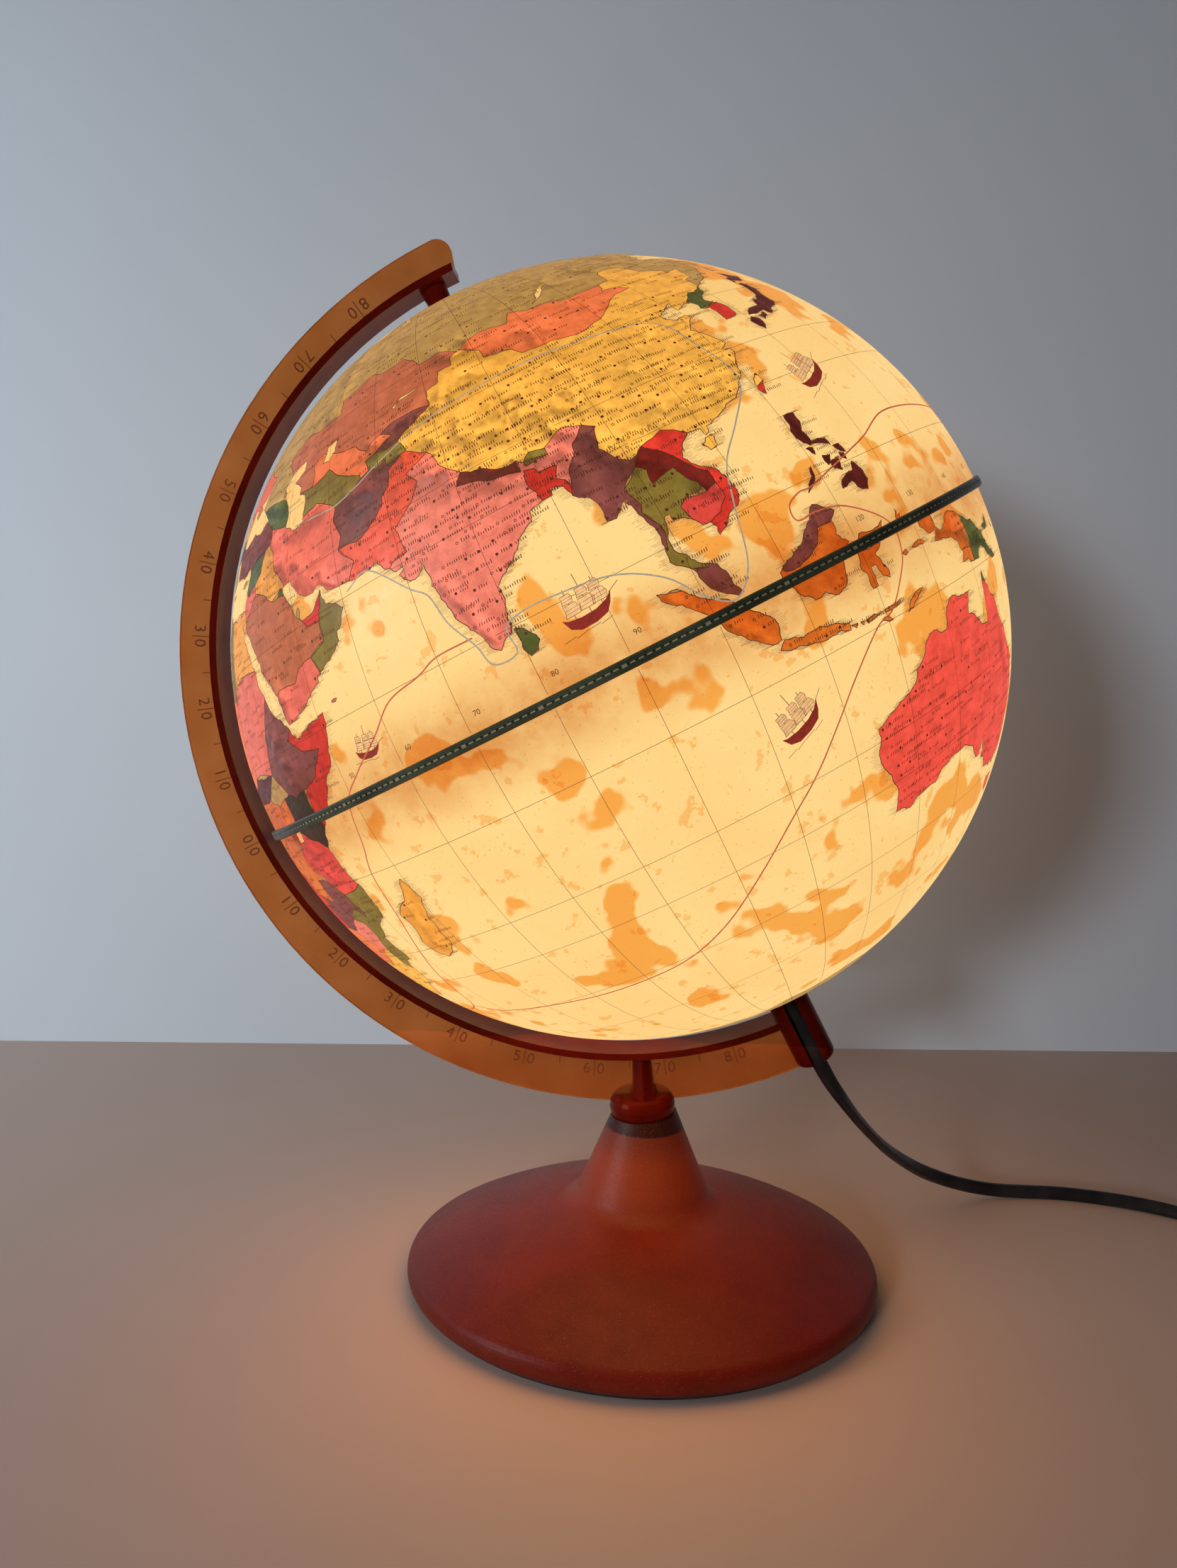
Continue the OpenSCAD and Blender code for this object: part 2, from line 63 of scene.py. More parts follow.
# ---------------------------------------------------------------- camera
def make_camera():
    data = bpy.data.cameras.new("camera")
    data.lens, data.sensor_width = CAMERA_LENS, CAMERA_SENSOR
    data.clip_start, data.clip_end = 0.01, 20.0
    cam = bpy.data.objects.new("camera", data)
    bpy.context.scene.collection.objects.link(cam)
    yaw, pitch, roll = (math.radians(a) for a in CAMERA_TURN)
    ahead = Vector((math.sin(yaw) * math.cos(pitch), math.cos(yaw) * math.cos(pitch), -math.sin(pitch)))
    right = Vector((math.cos(yaw), -math.sin(yaw), 0))
    up = right.cross(ahead)
    x = math.cos(roll) * right + math.sin(roll) * up
    y = -math.sin(roll) * right + math.cos(roll) * up
    cam.matrix_world = Matrix.Translation(CAMERA_AT) @ Matrix((x, y, -ahead)).transposed().to_4x4()
    bpy.context.scene.camera = cam


# ---------------------------------------------------------------- mesh helpers
def mesh_object(name, verts, faces, smooth=True):
    mesh = bpy.data.meshes.new(name)
    mesh.from_pydata([tuple(v) for v in verts], [], [tuple(f) for f in faces])
    mesh.polygons.foreach_set("use_smooth", [smooth] * len(mesh.polygons))
    mesh.update()
    ob = bpy.data.objects.new(name, mesh)
    bpy.context.scene.collection.objects.link(ob)
    return ob


def catmull(points, cuts):
    """A smooth run through the points, each stretch in that many cuts."""
    p = np.asarray(points, float)
    p = np.vstack([2 * p[0] - p[1], p, 2 * p[-1] - p[-2]])
    out = []
    for i in range(1, len(p) - 2):
        a, b, c, d = p[i - 1:i + 3]
        for t in np.arange(cuts) / cuts:
            out.append(0.5 * (2 * b + (c - a) * t + (2 * a - 5 * b + 4 * c - d) * t ** 2
                              + (3 * b - a - 3 * c + d) * t ** 3))
    return np.array(out + [p[-2]])


def unit(v):
    v = np.asarray(v, float)
    return v / np.linalg.norm(v, axis=-1, keepdims=True)


# ---------------------------------------------------------------- cord
CORD_W, CORD_T = 5.4, 3.2           # width and thickness
CORD_SIDES = 20                     # points round its section
GROOVE_DEPTH, GROOVE_W = 0.07, 0.55     # the groove between its cores: share of the thickness, then mm
# routes: x, y, z and the roll in degrees, 0 for flat and 90 for on edge
ROUTE_LAMP = [
    (45.3, -5.7, 107.8, 90), (49, -5.3, 101, 90), (53, -5, 93.5, 90), (56.5, -4.6, 87, 90),
    (60, -4, 80.5, 88), (64.5, -1.5, 73, 80), (70, 4, 65, 68), (76, 12, 56.5, 56),
    (83, 21.5, 47.5, 48), (91, 33, 38, 47), (100, 45.5, 29, 52), (110, 57.5, 20.5, 65),
    (121.5, 68.5, 13, 80), (134, 77, 7.2, 90), (147, 82, 3.8, 90), (160, 84, 2.8, 90),
    (174, 84, 2.75, 90), (188, 81.5, 2.75, 90), (201.5, 77, 2.85, 75), (214.5, 71, 2.6, 45),
    (226.5, 63.5, 2.1, 15), (237, 54, 1.9, 0), (245, 42.5, 2.6, 0), (250.3, 31, 5.3, 0),
    (252.6, 22.5, 8.1, 0), (253, 18, 8.5, 0), (253, 13, 8.5, 0)]
ROUTE_LEAD = [(253, -12, 8.5, 0), (253, -37, 8.5, 0), (253, -42, 8.5, 0), (253, -46, 7.4, 30),
              (253.2, -51, 5.2, 60), (253.3, -58, 3.7, 88)]
ROUTE_TAIL = [(253.2, -82, 9, 88), (253, -87, 8.6, 60), (253, -91, 7.7, 30), (253, -95.5, 6.9, 0),
              (253, -101, 6.85, 0)]
COIL_AT, COIL_R, COIL_LOW = (220, -70), 30, 3.6
COIL_LANES = (0, 1, 2, 2, 1, 0, 0)      # where each turn starts, counted inwards, and where the last ends
COIL_LAYERS = (0, 0, 0, 1, 1, 1, 1)
COIL_TURNS, COIL_STEPS = 6, 24          # turns, and points in each
COIL_PITCH = 3.5                        # from lane to lane
STEP_OVER = 0.2                         # the last share of a turn, where it moves to the next lane


def coil_points():
    """Three turns inwards on the table, then three outwards on top of them."""
    out = []
    for i in range(COIL_TURNS * COIL_STEPS + 1):
        k = i / COIL_STEPS
        turn, part = (int(k), k % 1) if k < COIL_TURNS else (COIL_TURNS - 1, 1.0)
        shift = min(max((part - (1 - STEP_OVER)) / STEP_OVER, 0), 1)
        shift = shift * shift * (3 - 2 * shift)
        lane, layer = (row[turn] + (row[turn + 1] - row[turn]) * shift for row in (COIL_LANES, COIL_LAYERS))
        r = COIL_R + COIL_PITCH * (1 - lane)
        a = -2 * math.pi * k
        x, y = COIL_AT[0] + r * math.cos(a), COIL_AT[1] + r * math.sin(a)
        out.append((x, y, COIL_LOW + CORD_W * layer, 90))
    return out


def flat_cord(name, route):
    """Sweeps the flat two-core section along the route."""
    n = CORD_SIDES
    a = 2 * np.pi * np.arange(n) / n
    # two round cores side by side under one flat jacket, with a faint groove between them
    x = np.sign(np.cos(a)) * np.abs(np.cos(a)) ** 0.72 * CORD_W / 2
    y = np.sign(np.sin(a)) * np.abs(np.sin(a)) ** 0.62 * CORD_T / 2
    y *= 1 - GROOVE_DEPTH * np.exp(-(x / GROOVE_W) ** 2)
    p = route[:, :3]
    t = unit(np.gradient(p, axis=0))
    w = unit(np.cross((0, 0, 1.0), t))
    u = np.cross(t, w)
    c, s = np.cos(np.radians(route[:, 3])), np.sin(np.radians(route[:, 3]))
    ring = (p[:, None] + (x[None] * c[:, None] - y[None] * s[:, None])[..., None] * w[:, None]
            + (x[None] * s[:, None] + y[None] * c[:, None])[..., None] * u[:, None])
    m = len(route)
    faces = [(i * n + j, i * n + (j + 1) % n, (i + 1) * n + (j + 1) % n, (i + 1) * n + j)
             for i in range(m - 1) for j in range(n)]
    faces += [tuple(range(n - 1, -1, -1)), tuple((m - 1) * n + j for j in range(n))]
    return mesh_object(name, ring.reshape(-1, 3) * MM, faces)


def make_cord():
    route = np.vstack([catmull(ROUTE_LAMP, 4), ROUTE_LEAD[:1], catmull(ROUTE_LEAD[1:], 3)[:-1],
                       coil_points(), catmull(ROUTE_TAIL, 3)])
    ob = flat_cord("flat_cord", route)
    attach(ob, "stand")
    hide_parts("mains_cord", "cord_lead", "cord_coil", "cord_tail")
    return ob


make_camera()
cord = make_cord()


# ---------------------------------------------------------------- map, as longitude,latitude in degrees
# coasts: the two mainlands, the other continents and the islands, a slash between each
LAND = """
32.5,29.9 33.2,28.6 34.2,27.8 34.9,29.5 34.7,28 35.7,27.3 36.5,26.1 37.3,25 38.1,24 39,22.6 39.1,21.3
40.2,20.1 41.2,18.8 42.5,16.9 42.8,15.2 43.2,13.2 43.5,12.7 45,12.8 46.8,13.4 48.7,14 51,15.2 52.2,15.6
52.3,16.3 54,17 55.3,17.3 56.4,18 57.7,18.9 57.8,20.2 58.7,20.6 59.8,22.5 58.6,23.6 56.9,24.2 56.4,25.2
56.4,26.3 55.9,25.8 55.2,25.2 54.3,24.3 53,24.1 51.6,24.1 51.3,24.6 51.5,25.3 51.2,26.1 50.8,25.5
50.7,24.9 50.2,25.7 50.1,26.6 49.3,27.4 48.7,28.3 48,29.4 48.1,30 48.9,30.2 50.1,30.1 50.9,28.9 51.7,27.8
53.4,26.8 54.9,26.6 56.4,27.1 57.1,26.6 57.8,25.7 59.5,25.4 61.6,25.2 64.6,25.2 66.5,25.4 67,24.8
67.5,23.9 68.3,23.6 68.8,22.9 70.4,23 69.2,22.3 69.6,21.6 70.4,20.9 71.1,20.8 72.2,21.4 72.5,22.3
72.7,21.2 72.8,19 73.3,17 73.9,15.4 74.8,12.9 75.8,11.2 76.3,9.9 76.9,8.5 77.5,8.1 78.2,8.9 79.2,9.3
79.8,10.3 79.8,11.9 80.3,13.3 80.1,15 80.9,15.8 82.2,16.6 83.4,17.7 85,19.3 86.7,20.2 87,21.4 88.2,21.7
90.2,21.9 90.6,22.8 91.8,22.3 92.3,20.7 93.5,19.8 94.4,18.2 94.3,16 95.4,15.8 96.3,16.5 97,17.3 97.6,16.4
97.8,15 98.2,13.8 98.7,12 98.6,10.2 98.3,8.3 99.3,7.3 100.2,6.4 100.4,5.2 100.8,3.9 101.4,3 102.3,2.1
103.5,1.3 104.2,1.4 103.5,2.7 103.4,4.5 102.9,5.7 102.1,6.2 101,6.9 100.3,8.3 99.3,9.4 99.3,10.8 99.9,12.3
100.2,13.4 100.9,13.4 100.9,12.6 102.1,12.3 102.9,11.7 103.6,10.6 104.6,10.4 105,9.6 104.8,8.6 106.3,9.5
107,10.4 108.8,11.2 109.3,12.5 109.1,14.2 108.4,16 107,17 105.7,18.9 106.5,20.3 108,21.5 109.7,21.4
109.8,20.3 110.4,20.5 110.6,21.3 113.3,22.1 114.3,22.5 116.6,23.2 118.1,24.4 119.6,25.7 120.7,27.9
121.9,29.3 121.7,30.1 120.4,30.3 121.9,31 121.7,31.9 120.4,33.9 119.3,34.9 120.6,36.2 122.6,37.2
121.2,37.7 119.2,37.2 118,38.3 117.8,39.1 119.6,39.9 121.5,40.8 121.3,38.9 123.2,39.7 124.7,39.6
125.3,38.6 124.9,38 126.5,37.6 126.5,36 126.3,34.6 127.8,34.8 129.2,35.2 129.5,36.8 128.4,38.4 127.4,39.3
128,40.1 129.7,41 130.5,42.4 132.3,43.1 135.2,44.2 138.1,46.6 140.3,48.6 140.6,51 141.3,52.9 139.2,54.1
137,54 135.4,54.8 138.6,57 142.5,59.2 148.5,59.4 152.5,59 155,59.3 154.3,60.4 157,61.7 160.2,61.7
164.2,62.4 163.2,61.4 161.9,60.2 158.2,58.1 156.5,57 155.6,54.8 156.1,52 156.8,51 158.6,52.9 160.2,54.7
162.1,54.8 162.8,56.5 162.3,57.8 163.4,59.2 165.5,60 170.3,60 174,61.8 179.1,62.4 177.8,64.5 180.5,65
185,64.4 190.1,66 186,67 180,68.9 175,69.8 170.4,69.8 161,69.5 152,70.9 140,72.4 131,71.1 127.5,73.3
120,73 113,73.8 107.5,76.9 104.3,77.6 98,76.2 87,75 80.5,73.5 82,71.5 79,72.2 76.5,71.8 77.5,68 73.5,67
74,71 69.5,72.9 67,71 67,69.2 60.5,69.6 54,68.4 46,68 43.4,68.5 44,66.2 39.8,64.8 35,64.2 32.6,67 38,66.1
41.2,67 38,68.5 30,69.8 25.7,71 19,69.8 14.5,68 12.2,65.8 9.5,63.8 5.2,62 5.1,60.3 5.6,58.8 7.2,58
10.5,59.3 11.8,57.7 12.9,55.5 14.3,55.5 16.4,56.8 18.8,59.8 17.3,61 17.9,62.8 21,64.5 22.3,65.7 25.2,65
21.4,63 21.4,60.9 25,60.2 29.8,59.9 28,59.5 23.6,59.2 24.4,58.3 24.2,57.2 22.6,57.6 21.1,56.4 20,54.9
18.6,54.5 14.2,53.9 10.9,54 9.9,55 10.6,57.6 8.3,56.9 8.4,54.8 8.7,53.9 7,53.4 4.8,52.9 3.8,51.6 1.8,50.9
0.2,49.6 -1.7,49.7 -1.9,48.7 -4.7,48.4 -2.4,47.4 -1.1,46 -1.5,43.5 -3.8,43.5 -8.2,43.6 -9.2,42.6 -8.7,40.8
-9.4,38.7 -8.9,37.1 -6.4,36.8 -5.5,36 -2.2,36.8 -0.7,37.8 -0.2,39.4 2.2,41.3 3.1,42.4 4,43.5 6.5,43.2
8.8,44.4 10.4,43.2 12.2,41.8 14.3,40.7 15.7,39.9 15.9,38.1 17.1,39.1 16.9,40.4 18.4,39.9 16.9,41.2
15.9,41.9 14.2,42.4 13.5,43.6 12.4,44.6 12.4,45.4 13.7,45.6 14,44.9 15.2,44.2 17.5,43 19.4,41.9 19.4,40.4
21.1,38.4 21.7,36.9 23.1,36.5 24,37.7 22.9,39.2 22.8,40.5 24.2,40.2 26.2,40.7 26.2,39.4 26.7,38.3 27.4,37
30.6,36.8 32.6,36.1 36.1,36.6 35.8,35 35,32.8 34.2,31.3 32.4,31.2 / 32.5,29.9 33.6,27.8 34.6,25.8
35.6,23.9 37,21.8 37.3,19.5 38.5,17.8 39.6,15.5 41.5,14 43,12.3 43.2,11.5 44.5,10.4 47,11.1 51.2,11.9
51.1,10.4 50,8 48,4.6 45.5,2.1 42.6,-0.3 40.4,-2.6 39.2,-4.8 39.4,-7.4 40.4,-10.6 40.7,-14.8 39.6,-16.6
36.9,-18 34.8,-19.9 35.5,-23 35.3,-24.4 32.8,-25.7 32.6,-28.2 30.9,-30.3 27.9,-33 25.6,-34 20,-34.8
18.3,-34 18,-32.2 16.5,-28.6 15,-26.4 14.5,-22.6 12,-18.2 11.8,-15.8 13.6,-12.4 13,-8.9 12.2,-6 10.9,-3.7
8.8,-0.8 9.6,1 9.6,3.8 8.4,4.6 6,4.3 4.4,6.3 1,5.9 -2,4.8 -5,5.2 -7.6,4.4 -11.4,6.8 -13.4,9.2 -16,12
-17.4,14.7 -16.3,17 -16.3,19.4 -17,21 -15.5,24.4 -13,27.8 -9.8,29.8 -9.6,31.8 -6.8,34 -5.6,35.8 -2,35.1
1,36.4 5,36.8 10,37.3 11,36.9 10.6,35.3 10.2,34 11.3,33.1 14,32.7 16,31.2 19,30.3 20,31 20,32.2 22.8,32.8
25,31.6 29,30.8 30.5,31.5 32.4,31.2 / 49.3,-12 50.4,-15.5 49.6,-16.8 48.8,-20 47.1,-24.9 45.3,-25.6
43.6,-23.5 43.3,-21.9 44.4,-19.8 44.1,-17 45.5,-15.8 47.2,-15.2 48.3,-13.6 / 79.9,9.7 80.8,9.2 81.3,8.4
81.9,7.2 81.3,6.2 80.3,5.9 79.8,7 79.9,8.6 / 53.4,12.6 54.5,12.6 54.1,12.3 53.4,12.4 / 95.3,5.6 97.5,5.2
99,3.6 100.8,2.1 103,0.3 104.2,-1.2 106,-3.2 105.8,-5.7 104.6,-5.8 102.2,-3.8 100.3,-0.9 98.8,1.5 97.3,3.3
95.5,4.7 / 105.2,-6.8 106.1,-5.9 108.4,-6.7 110.7,-6.4 112.7,-7 114.5,-7.8 114.4,-8.7 111,-8.3 108.5,-7.8
106.4,-7.4 / 109,1.4 109.7,2 111.3,2.5 113,3.3 114.2,4.6 115.5,5.5 116.8,7 117.9,6.2 119.2,5.2 118.1,4.3
117.8,2.5 119,1 117.6,0.1 117,-1.2 116.2,-3.5 114.7,-4.1 113.2,-3.1 111.6,-3.4 110.1,-2 109.1,-0.3 /
119.8,0.4 120.8,1.3 123,0.9 125.1,1.6 124.3,0.4 121.9,0.5 120.2,0.4 120.2,-0.8 121.3,-0.9 123.3,-0.9
121.8,-1.8 122.3,-3.4 122.8,-4.3 122.6,-5.3 121.6,-4.6 121.2,-3 120.4,-3 120.4,-5.5 119.5,-5.5 119.5,-3.4
118.9,-2.7 119.4,-1 / 114.6,-8.2 115.6,-8.3 115.2,-8.8 / 116,-8.4 116.7,-8.5 116.3,-8.9 / 116.8,-8.5
118.2,-8.3 119.1,-8.6 118,-8.8 117,-9 / 119.9,-8.5 121.5,-8.5 122.9,-8.2 122.8,-8.6 121,-8.9 120,-8.8 /
119,-9.5 120.2,-9.4 120.8,-10.1 120.1,-10.1 / 123.5,-10.3 124.1,-9.4 125.8,-8.5 127.3,-8.4 126,-9.1
124.6,-10.1 / 127.5,1 128,2.1 127.9,1.1 128.6,1.3 127.9,0.3 128.3,-0.8 127.8,-0.4 / 128,-3.3 129.5,-2.8
130.8,-3.4 130.2,-3.6 128.6,-3.5 / 126,-3.4 126.8,-3.1 127.1,-3.6 126.4,-3.8 / 131,-0.9 132.4,-0.4
134.1,-0.8 134.1,-2.4 135,-3.3 137.8,-1.5 141,-2.6 144.5,-3.9 145.8,-5.4 147.8,-6.1 146.9,-6.8 148.4,-8.6
150.8,-10.3 149,-10.3 147.1,-9.5 145,-7.7 143.3,-8.6 143.1,-9.1 141,-9.1 137.7,-8.3 138.7,-7.2 138,-5.5
135.5,-4.4 132.8,-4 133.8,-2.8 132.2,-2.8 131,-1.5 / 148.4,-5.7 150.2,-5.5 152.1,-4.3 151.8,-5.5
149.8,-6.3 / 154.7,-5.5 155.8,-6.5 155.2,-6.7 / 160,-9.3 160.8,-9.8 159.8,-9.7 / 120.6,18.5 122.2,18.4
122.2,17 121.5,15.8 121.8,14.2 123.9,13.8 124.1,12.7 122.7,13.5 121.2,13.7 120.6,14.3 120.1,15.2 120,16.3
120.4,16.8 / 120.4,13.5 121.4,13.3 121.2,12.3 120.8,12.7 / 124.3,12.5 125.3,12.5 125.7,11.1 124.9,11.5 /
124.5,11.4 125.2,11.1 125.1,10.2 124.6,10.6 / 121.9,11.9 123.1,11.6 122.6,10.7 122,10.5 / 122.5,10.8
123.5,10.8 123.3,9.3 122.5,9.8 / 123.6,11 124,11 123.5,9.6 123.3,9.8 / 122,7.1 122.5,8.1 123.7,8.6
124.8,8.6 125.5,9.8 126.3,8.4 126.4,6.9 125.6,5.7 124.2,6.5 123.9,7.5 123.3,7.4 / 117.2,8.4 118.8,10
119.5,11.3 119.3,10.2 117.7,8.7 / 121.5,25.2 121.9,24.9 121.3,23.1 120.8,22 120.2,23 120.8,24.6 /
108.7,19.3 109.6,20 110.9,20 110.4,18.6 109.3,18.3 / 129.8,33.1 130.9,33.9 131.9,33.2 131.5,31.9
130.7,31.1 130.2,32 / 132.5,33.6 134.4,34.3 134.3,33.4 132.9,32.8 / 131,34.3 132.7,35.5 135.4,35.7
136.8,37.3 137.3,36.8 138.8,37.8 139.9,39.5 140.3,41.1 141.4,41.3 142,39.6 141,38.2 140.7,35.8 139.5,35.1
137.2,34.6 135.8,33.5 135,34.6 132.4,34.2 / 140,41.6 140.4,43.2 141.6,43.3 141.8,45.4 143.2,44.4
145.4,43.5 143.3,42 141,42.4 / 142,46.1 143.4,46.3 143,49.1 144.6,49 143.3,52.4 142.8,54.2 142,52 142.2,49
/ 142.5,-10.8 143.6,-13.2 143.9,-14.4 145.4,-15 146.1,-18 148.3,-20 149.6,-22.3 151,-23.6 153.2,-25.4
153.5,-28.5 152.6,-32.2 150.9,-34.6 149.9,-37.4 147.4,-38.1 146.3,-39 144.6,-38 143.5,-38.8 140.5,-38
139.3,-36 138,-35.6 138.4,-34.6 137.9,-32.8 137,-35 135.7,-34.9 134.2,-32.8 131.2,-31.5 128.9,-31.8
126,-32.3 123.8,-33.8 120,-34 118,-35 115.1,-34.3 115.7,-32 114.9,-29.4 113.4,-26.2 113.8,-24 114.1,-21.8
116.7,-20.7 119,-20 121.4,-19 122.2,-17.5 123.6,-16.8 124.6,-15.5 126.2,-14.2 127.6,-14.2 128.4,-15
129.6,-14.9 130.7,-12.4 132.6,-11.4 135.2,-12.2 136.8,-12.2 136,-13.6 135.6,-14.9 137.6,-16 139.2,-17.4
140.8,-17.6 141.6,-15 141.7,-12.6 142.1,-11.2 / 144.8,-40.8 148.3,-40.9 148,-42.8 146.8,-43.6 145.4,-42.6
/ 172.7,-34.5 174.8,-36.8 178.4,-37.7 177,-39.6 175.3,-41.6 173.9,-39.4 174.7,-37.8 / 172.7,-40.6
174.3,-41.8 172.8,-43.8 170.7,-45.9 168.4,-46.6 166.6,-45.9 168.3,-44.1 171.4,-41.9 / -168,65.6
-161.5,64.5 -165.5,62 -162,58.7 -157.5,58.7 -160.5,55.5 -154,58 -151,60 -147,61 -139.5,59.8 -133.5,56.5
-130.2,54.3 -127.5,51 -123.2,49 -124.5,47.8 -124.2,43 -123.8,39.5 -121.8,36.5 -117.5,33.2 -115,29.5
-112,25.5 -109.8,23 -112,28 -114.5,31.5 -112,29 -109,25.5 -105.5,21.5 -105.3,20 -102,18 -96.5,15.8
-94,16.2 -91.5,14 -87.7,13 -85.8,10.5 -83.6,8.8 -80.2,7.4 -79.5,9 -77.5,7.8 -77,8.5 -79.8,9.5 -82.2,9.2
-83.7,11 -83.2,14.8 -86,15.9 -88.6,15.9 -87.8,18.5 -87,21.4 -90.3,21 -91.5,18.6 -94.8,18.3 -97.3,21
-97.5,25 -94.8,29.3 -90,29.2 -86,30.3 -83,29.2 -81.7,25.5 -80.3,26 -81.3,30.5 -79,33.3 -75.6,35.3
-75.5,38.5 -73.8,40.6 -70.2,42 -69.5,44 -66.5,44.8 -63.5,44.6 -61,46 -65,47.5 -65,49.2 -69,48.5 -60,50.2
-56,52.5 -60.5,55.5 -64.5,60.2 -70,61.5 -77.5,62.5 -77,57.5 -79.5,54.5 -79.8,51.5 -82.5,53 -82.3,55.2
-88.5,56.8 -94.5,58.8 -94.5,60.5 -91,63.5 -87,64.5 -86,66.3 -82,67.5 -82,69.7 -90,69.5 -94,71.5 -97.5,68
-108,68 -115,68 -124.5,70 -134.5,69.3 -141,69.6 -156.5,71.2 -166,68.5 -161.8,66.4 / -77.5,7.8 -77.2,4
-78.8,1.5 -80.3,0 -80.9,-2.2 -80,-3.3 -81.2,-4.8 -79.5,-7.5 -77.3,-11.8 -76,-14.5 -71.5,-17.5 -70.3,-18.5
-70.2,-23 -71.4,-30 -71.7,-33.5 -73.5,-37.5 -73.7,-41.5 -74.5,-45 -75.3,-50 -71.5,-53.8 -67,-55.5
-65.2,-54.8 -68.3,-52.5 -69.2,-51 -65.8,-47.5 -67.5,-46 -65.2,-43.5 -64.9,-41 -62.2,-39 -57.7,-38
-56.8,-36.3 -58.3,-34 -54.9,-34.9 -52.2,-32.5 -48.6,-28.3 -48.3,-25.8 -44.5,-23.1 -41,-22 -39.2,-17.8
-38.7,-13.2 -35.2,-9 -35,-6 -38.5,-3.7 -44,-2.6 -48.5,-0.7 -50,1.5 -51.8,4.5 -57,6 -60,8.5 -62,10.7
-67,10.6 -71.5,12.3 -72,11.6 -75.2,10.9 / -73,78.3 -60,82 -30,83.5 -15,81.5 -19.5,76 -22,72 -25.5,70
-33,67.8 -40,65 -43.5,60 -48.5,61 -52.5,65.5 -54,69 -56,73.5 -66,76 / -64.5,63 -72,62.5 -78,64.5 -73.5,66
-78,70 -89.5,71.5 -81,73.7 -72,71.5 -62,66.8 / -117,69.9 -105,69 -101.5,70.5 -106,73.3 -118,72.5 /
-90,76.5 -79,76.3 -65,81.5 -75,83 -92,81 / -24,65.5 -20,66 -14.5,66.2 -13.7,64.8 -18.5,63.4 -22.7,63.9 /
-5.6,50.1 1.4,51.2 1.7,52.7 -1.5,55 -2,57.6 -5,58.6 -6,56.5 -3,54.5 -4.8,53 -5,51.8 -3,51.3 / -6.2,52.2
-10,51.6 -9.5,54 -7.5,55.3 -5.6,54.6 / -84.9,21.9 -82.5,23.1 -77.5,21.8 -74.3,20.2 -77.5,19.9 -81,22 /
-74.3,18.5 -73,19.9 -69.8,19.7 -68.4,18.5 -71.5,17.8 / -59.3,47.8 -55.7,51.5 -52.8,47.5 -55.8,46.9 / 11,79
20,80.3 25,79.8 17,76.7 / 52,71.5 56,74 68.5,76.8 60,74.5 57.5,70.7 / 8.5,39.2 9.7,39.3 9.5,41.2 8.3,40.9
/ 9.2,41.5 9.5,42.8 8.7,42.3 / 12.5,37.9 15.6,38.2 15.1,36.8 / 23.6,35.4 26.2,35.2 24,35 / 32.4,34.9
34.4,35.6 33,34.6 / -180,-78 -160,-78 -150,-76 -130,-74 -110,-74.5 -100,-72 -80,-73 -70,-72 -62,-64
-57,-63.3 -61,-68 -62,-75 -45,-78 -30,-76 -15,-72 0,-70 20,-70 40,-69 55,-66.5 70,-68 75,-69.5 90,-66.5
110,-66 130,-66 145,-67 160,-70 170,-72 165,-78"""
# inland seas and lakes
WATER = """
28,41.5 28.2,43.6 29.7,45.2 30.8,46.5 33,46.1 32.6,45.3 34,44.4 36.5,45.2 35,46.2 38.5,47.1 37.5,45
39.5,43.6 41.6,41.9 38.5,40.9 35.2,42 31.5,41.2 / 47,44.6 49.5,46.4 53,46.9 53,45.2 51.3,44.5 50.3,44.4
52.7,42.7 52.5,41.6 54,41 53.8,37.2 51,36.8 48.9,38.2 49.4,40.3 47.6,43 / 58.2,44 59.2,46.2 61.5,46.5
61.2,44.8 59.8,43.6 / 73.6,45.6 75.5,46.6 79,46.7 75,46.2 74,45.2 / 103.8,51.6 106.5,52.8 109.6,55.6
109,55.7 105.5,52.6 / 31.8,-1 33,0.3 34.2,-0.5 33.2,-2.4 31.8,-2.5 / -92,46.7 -85,47.8 -84.5,46.5 -88,46.5
/ -87.8,42 -86.3,42.2 -85.3,45.5 -87.5,44.8 / -83.5,43.5 -81.8,43.4 -80,44.7 -84,46"""
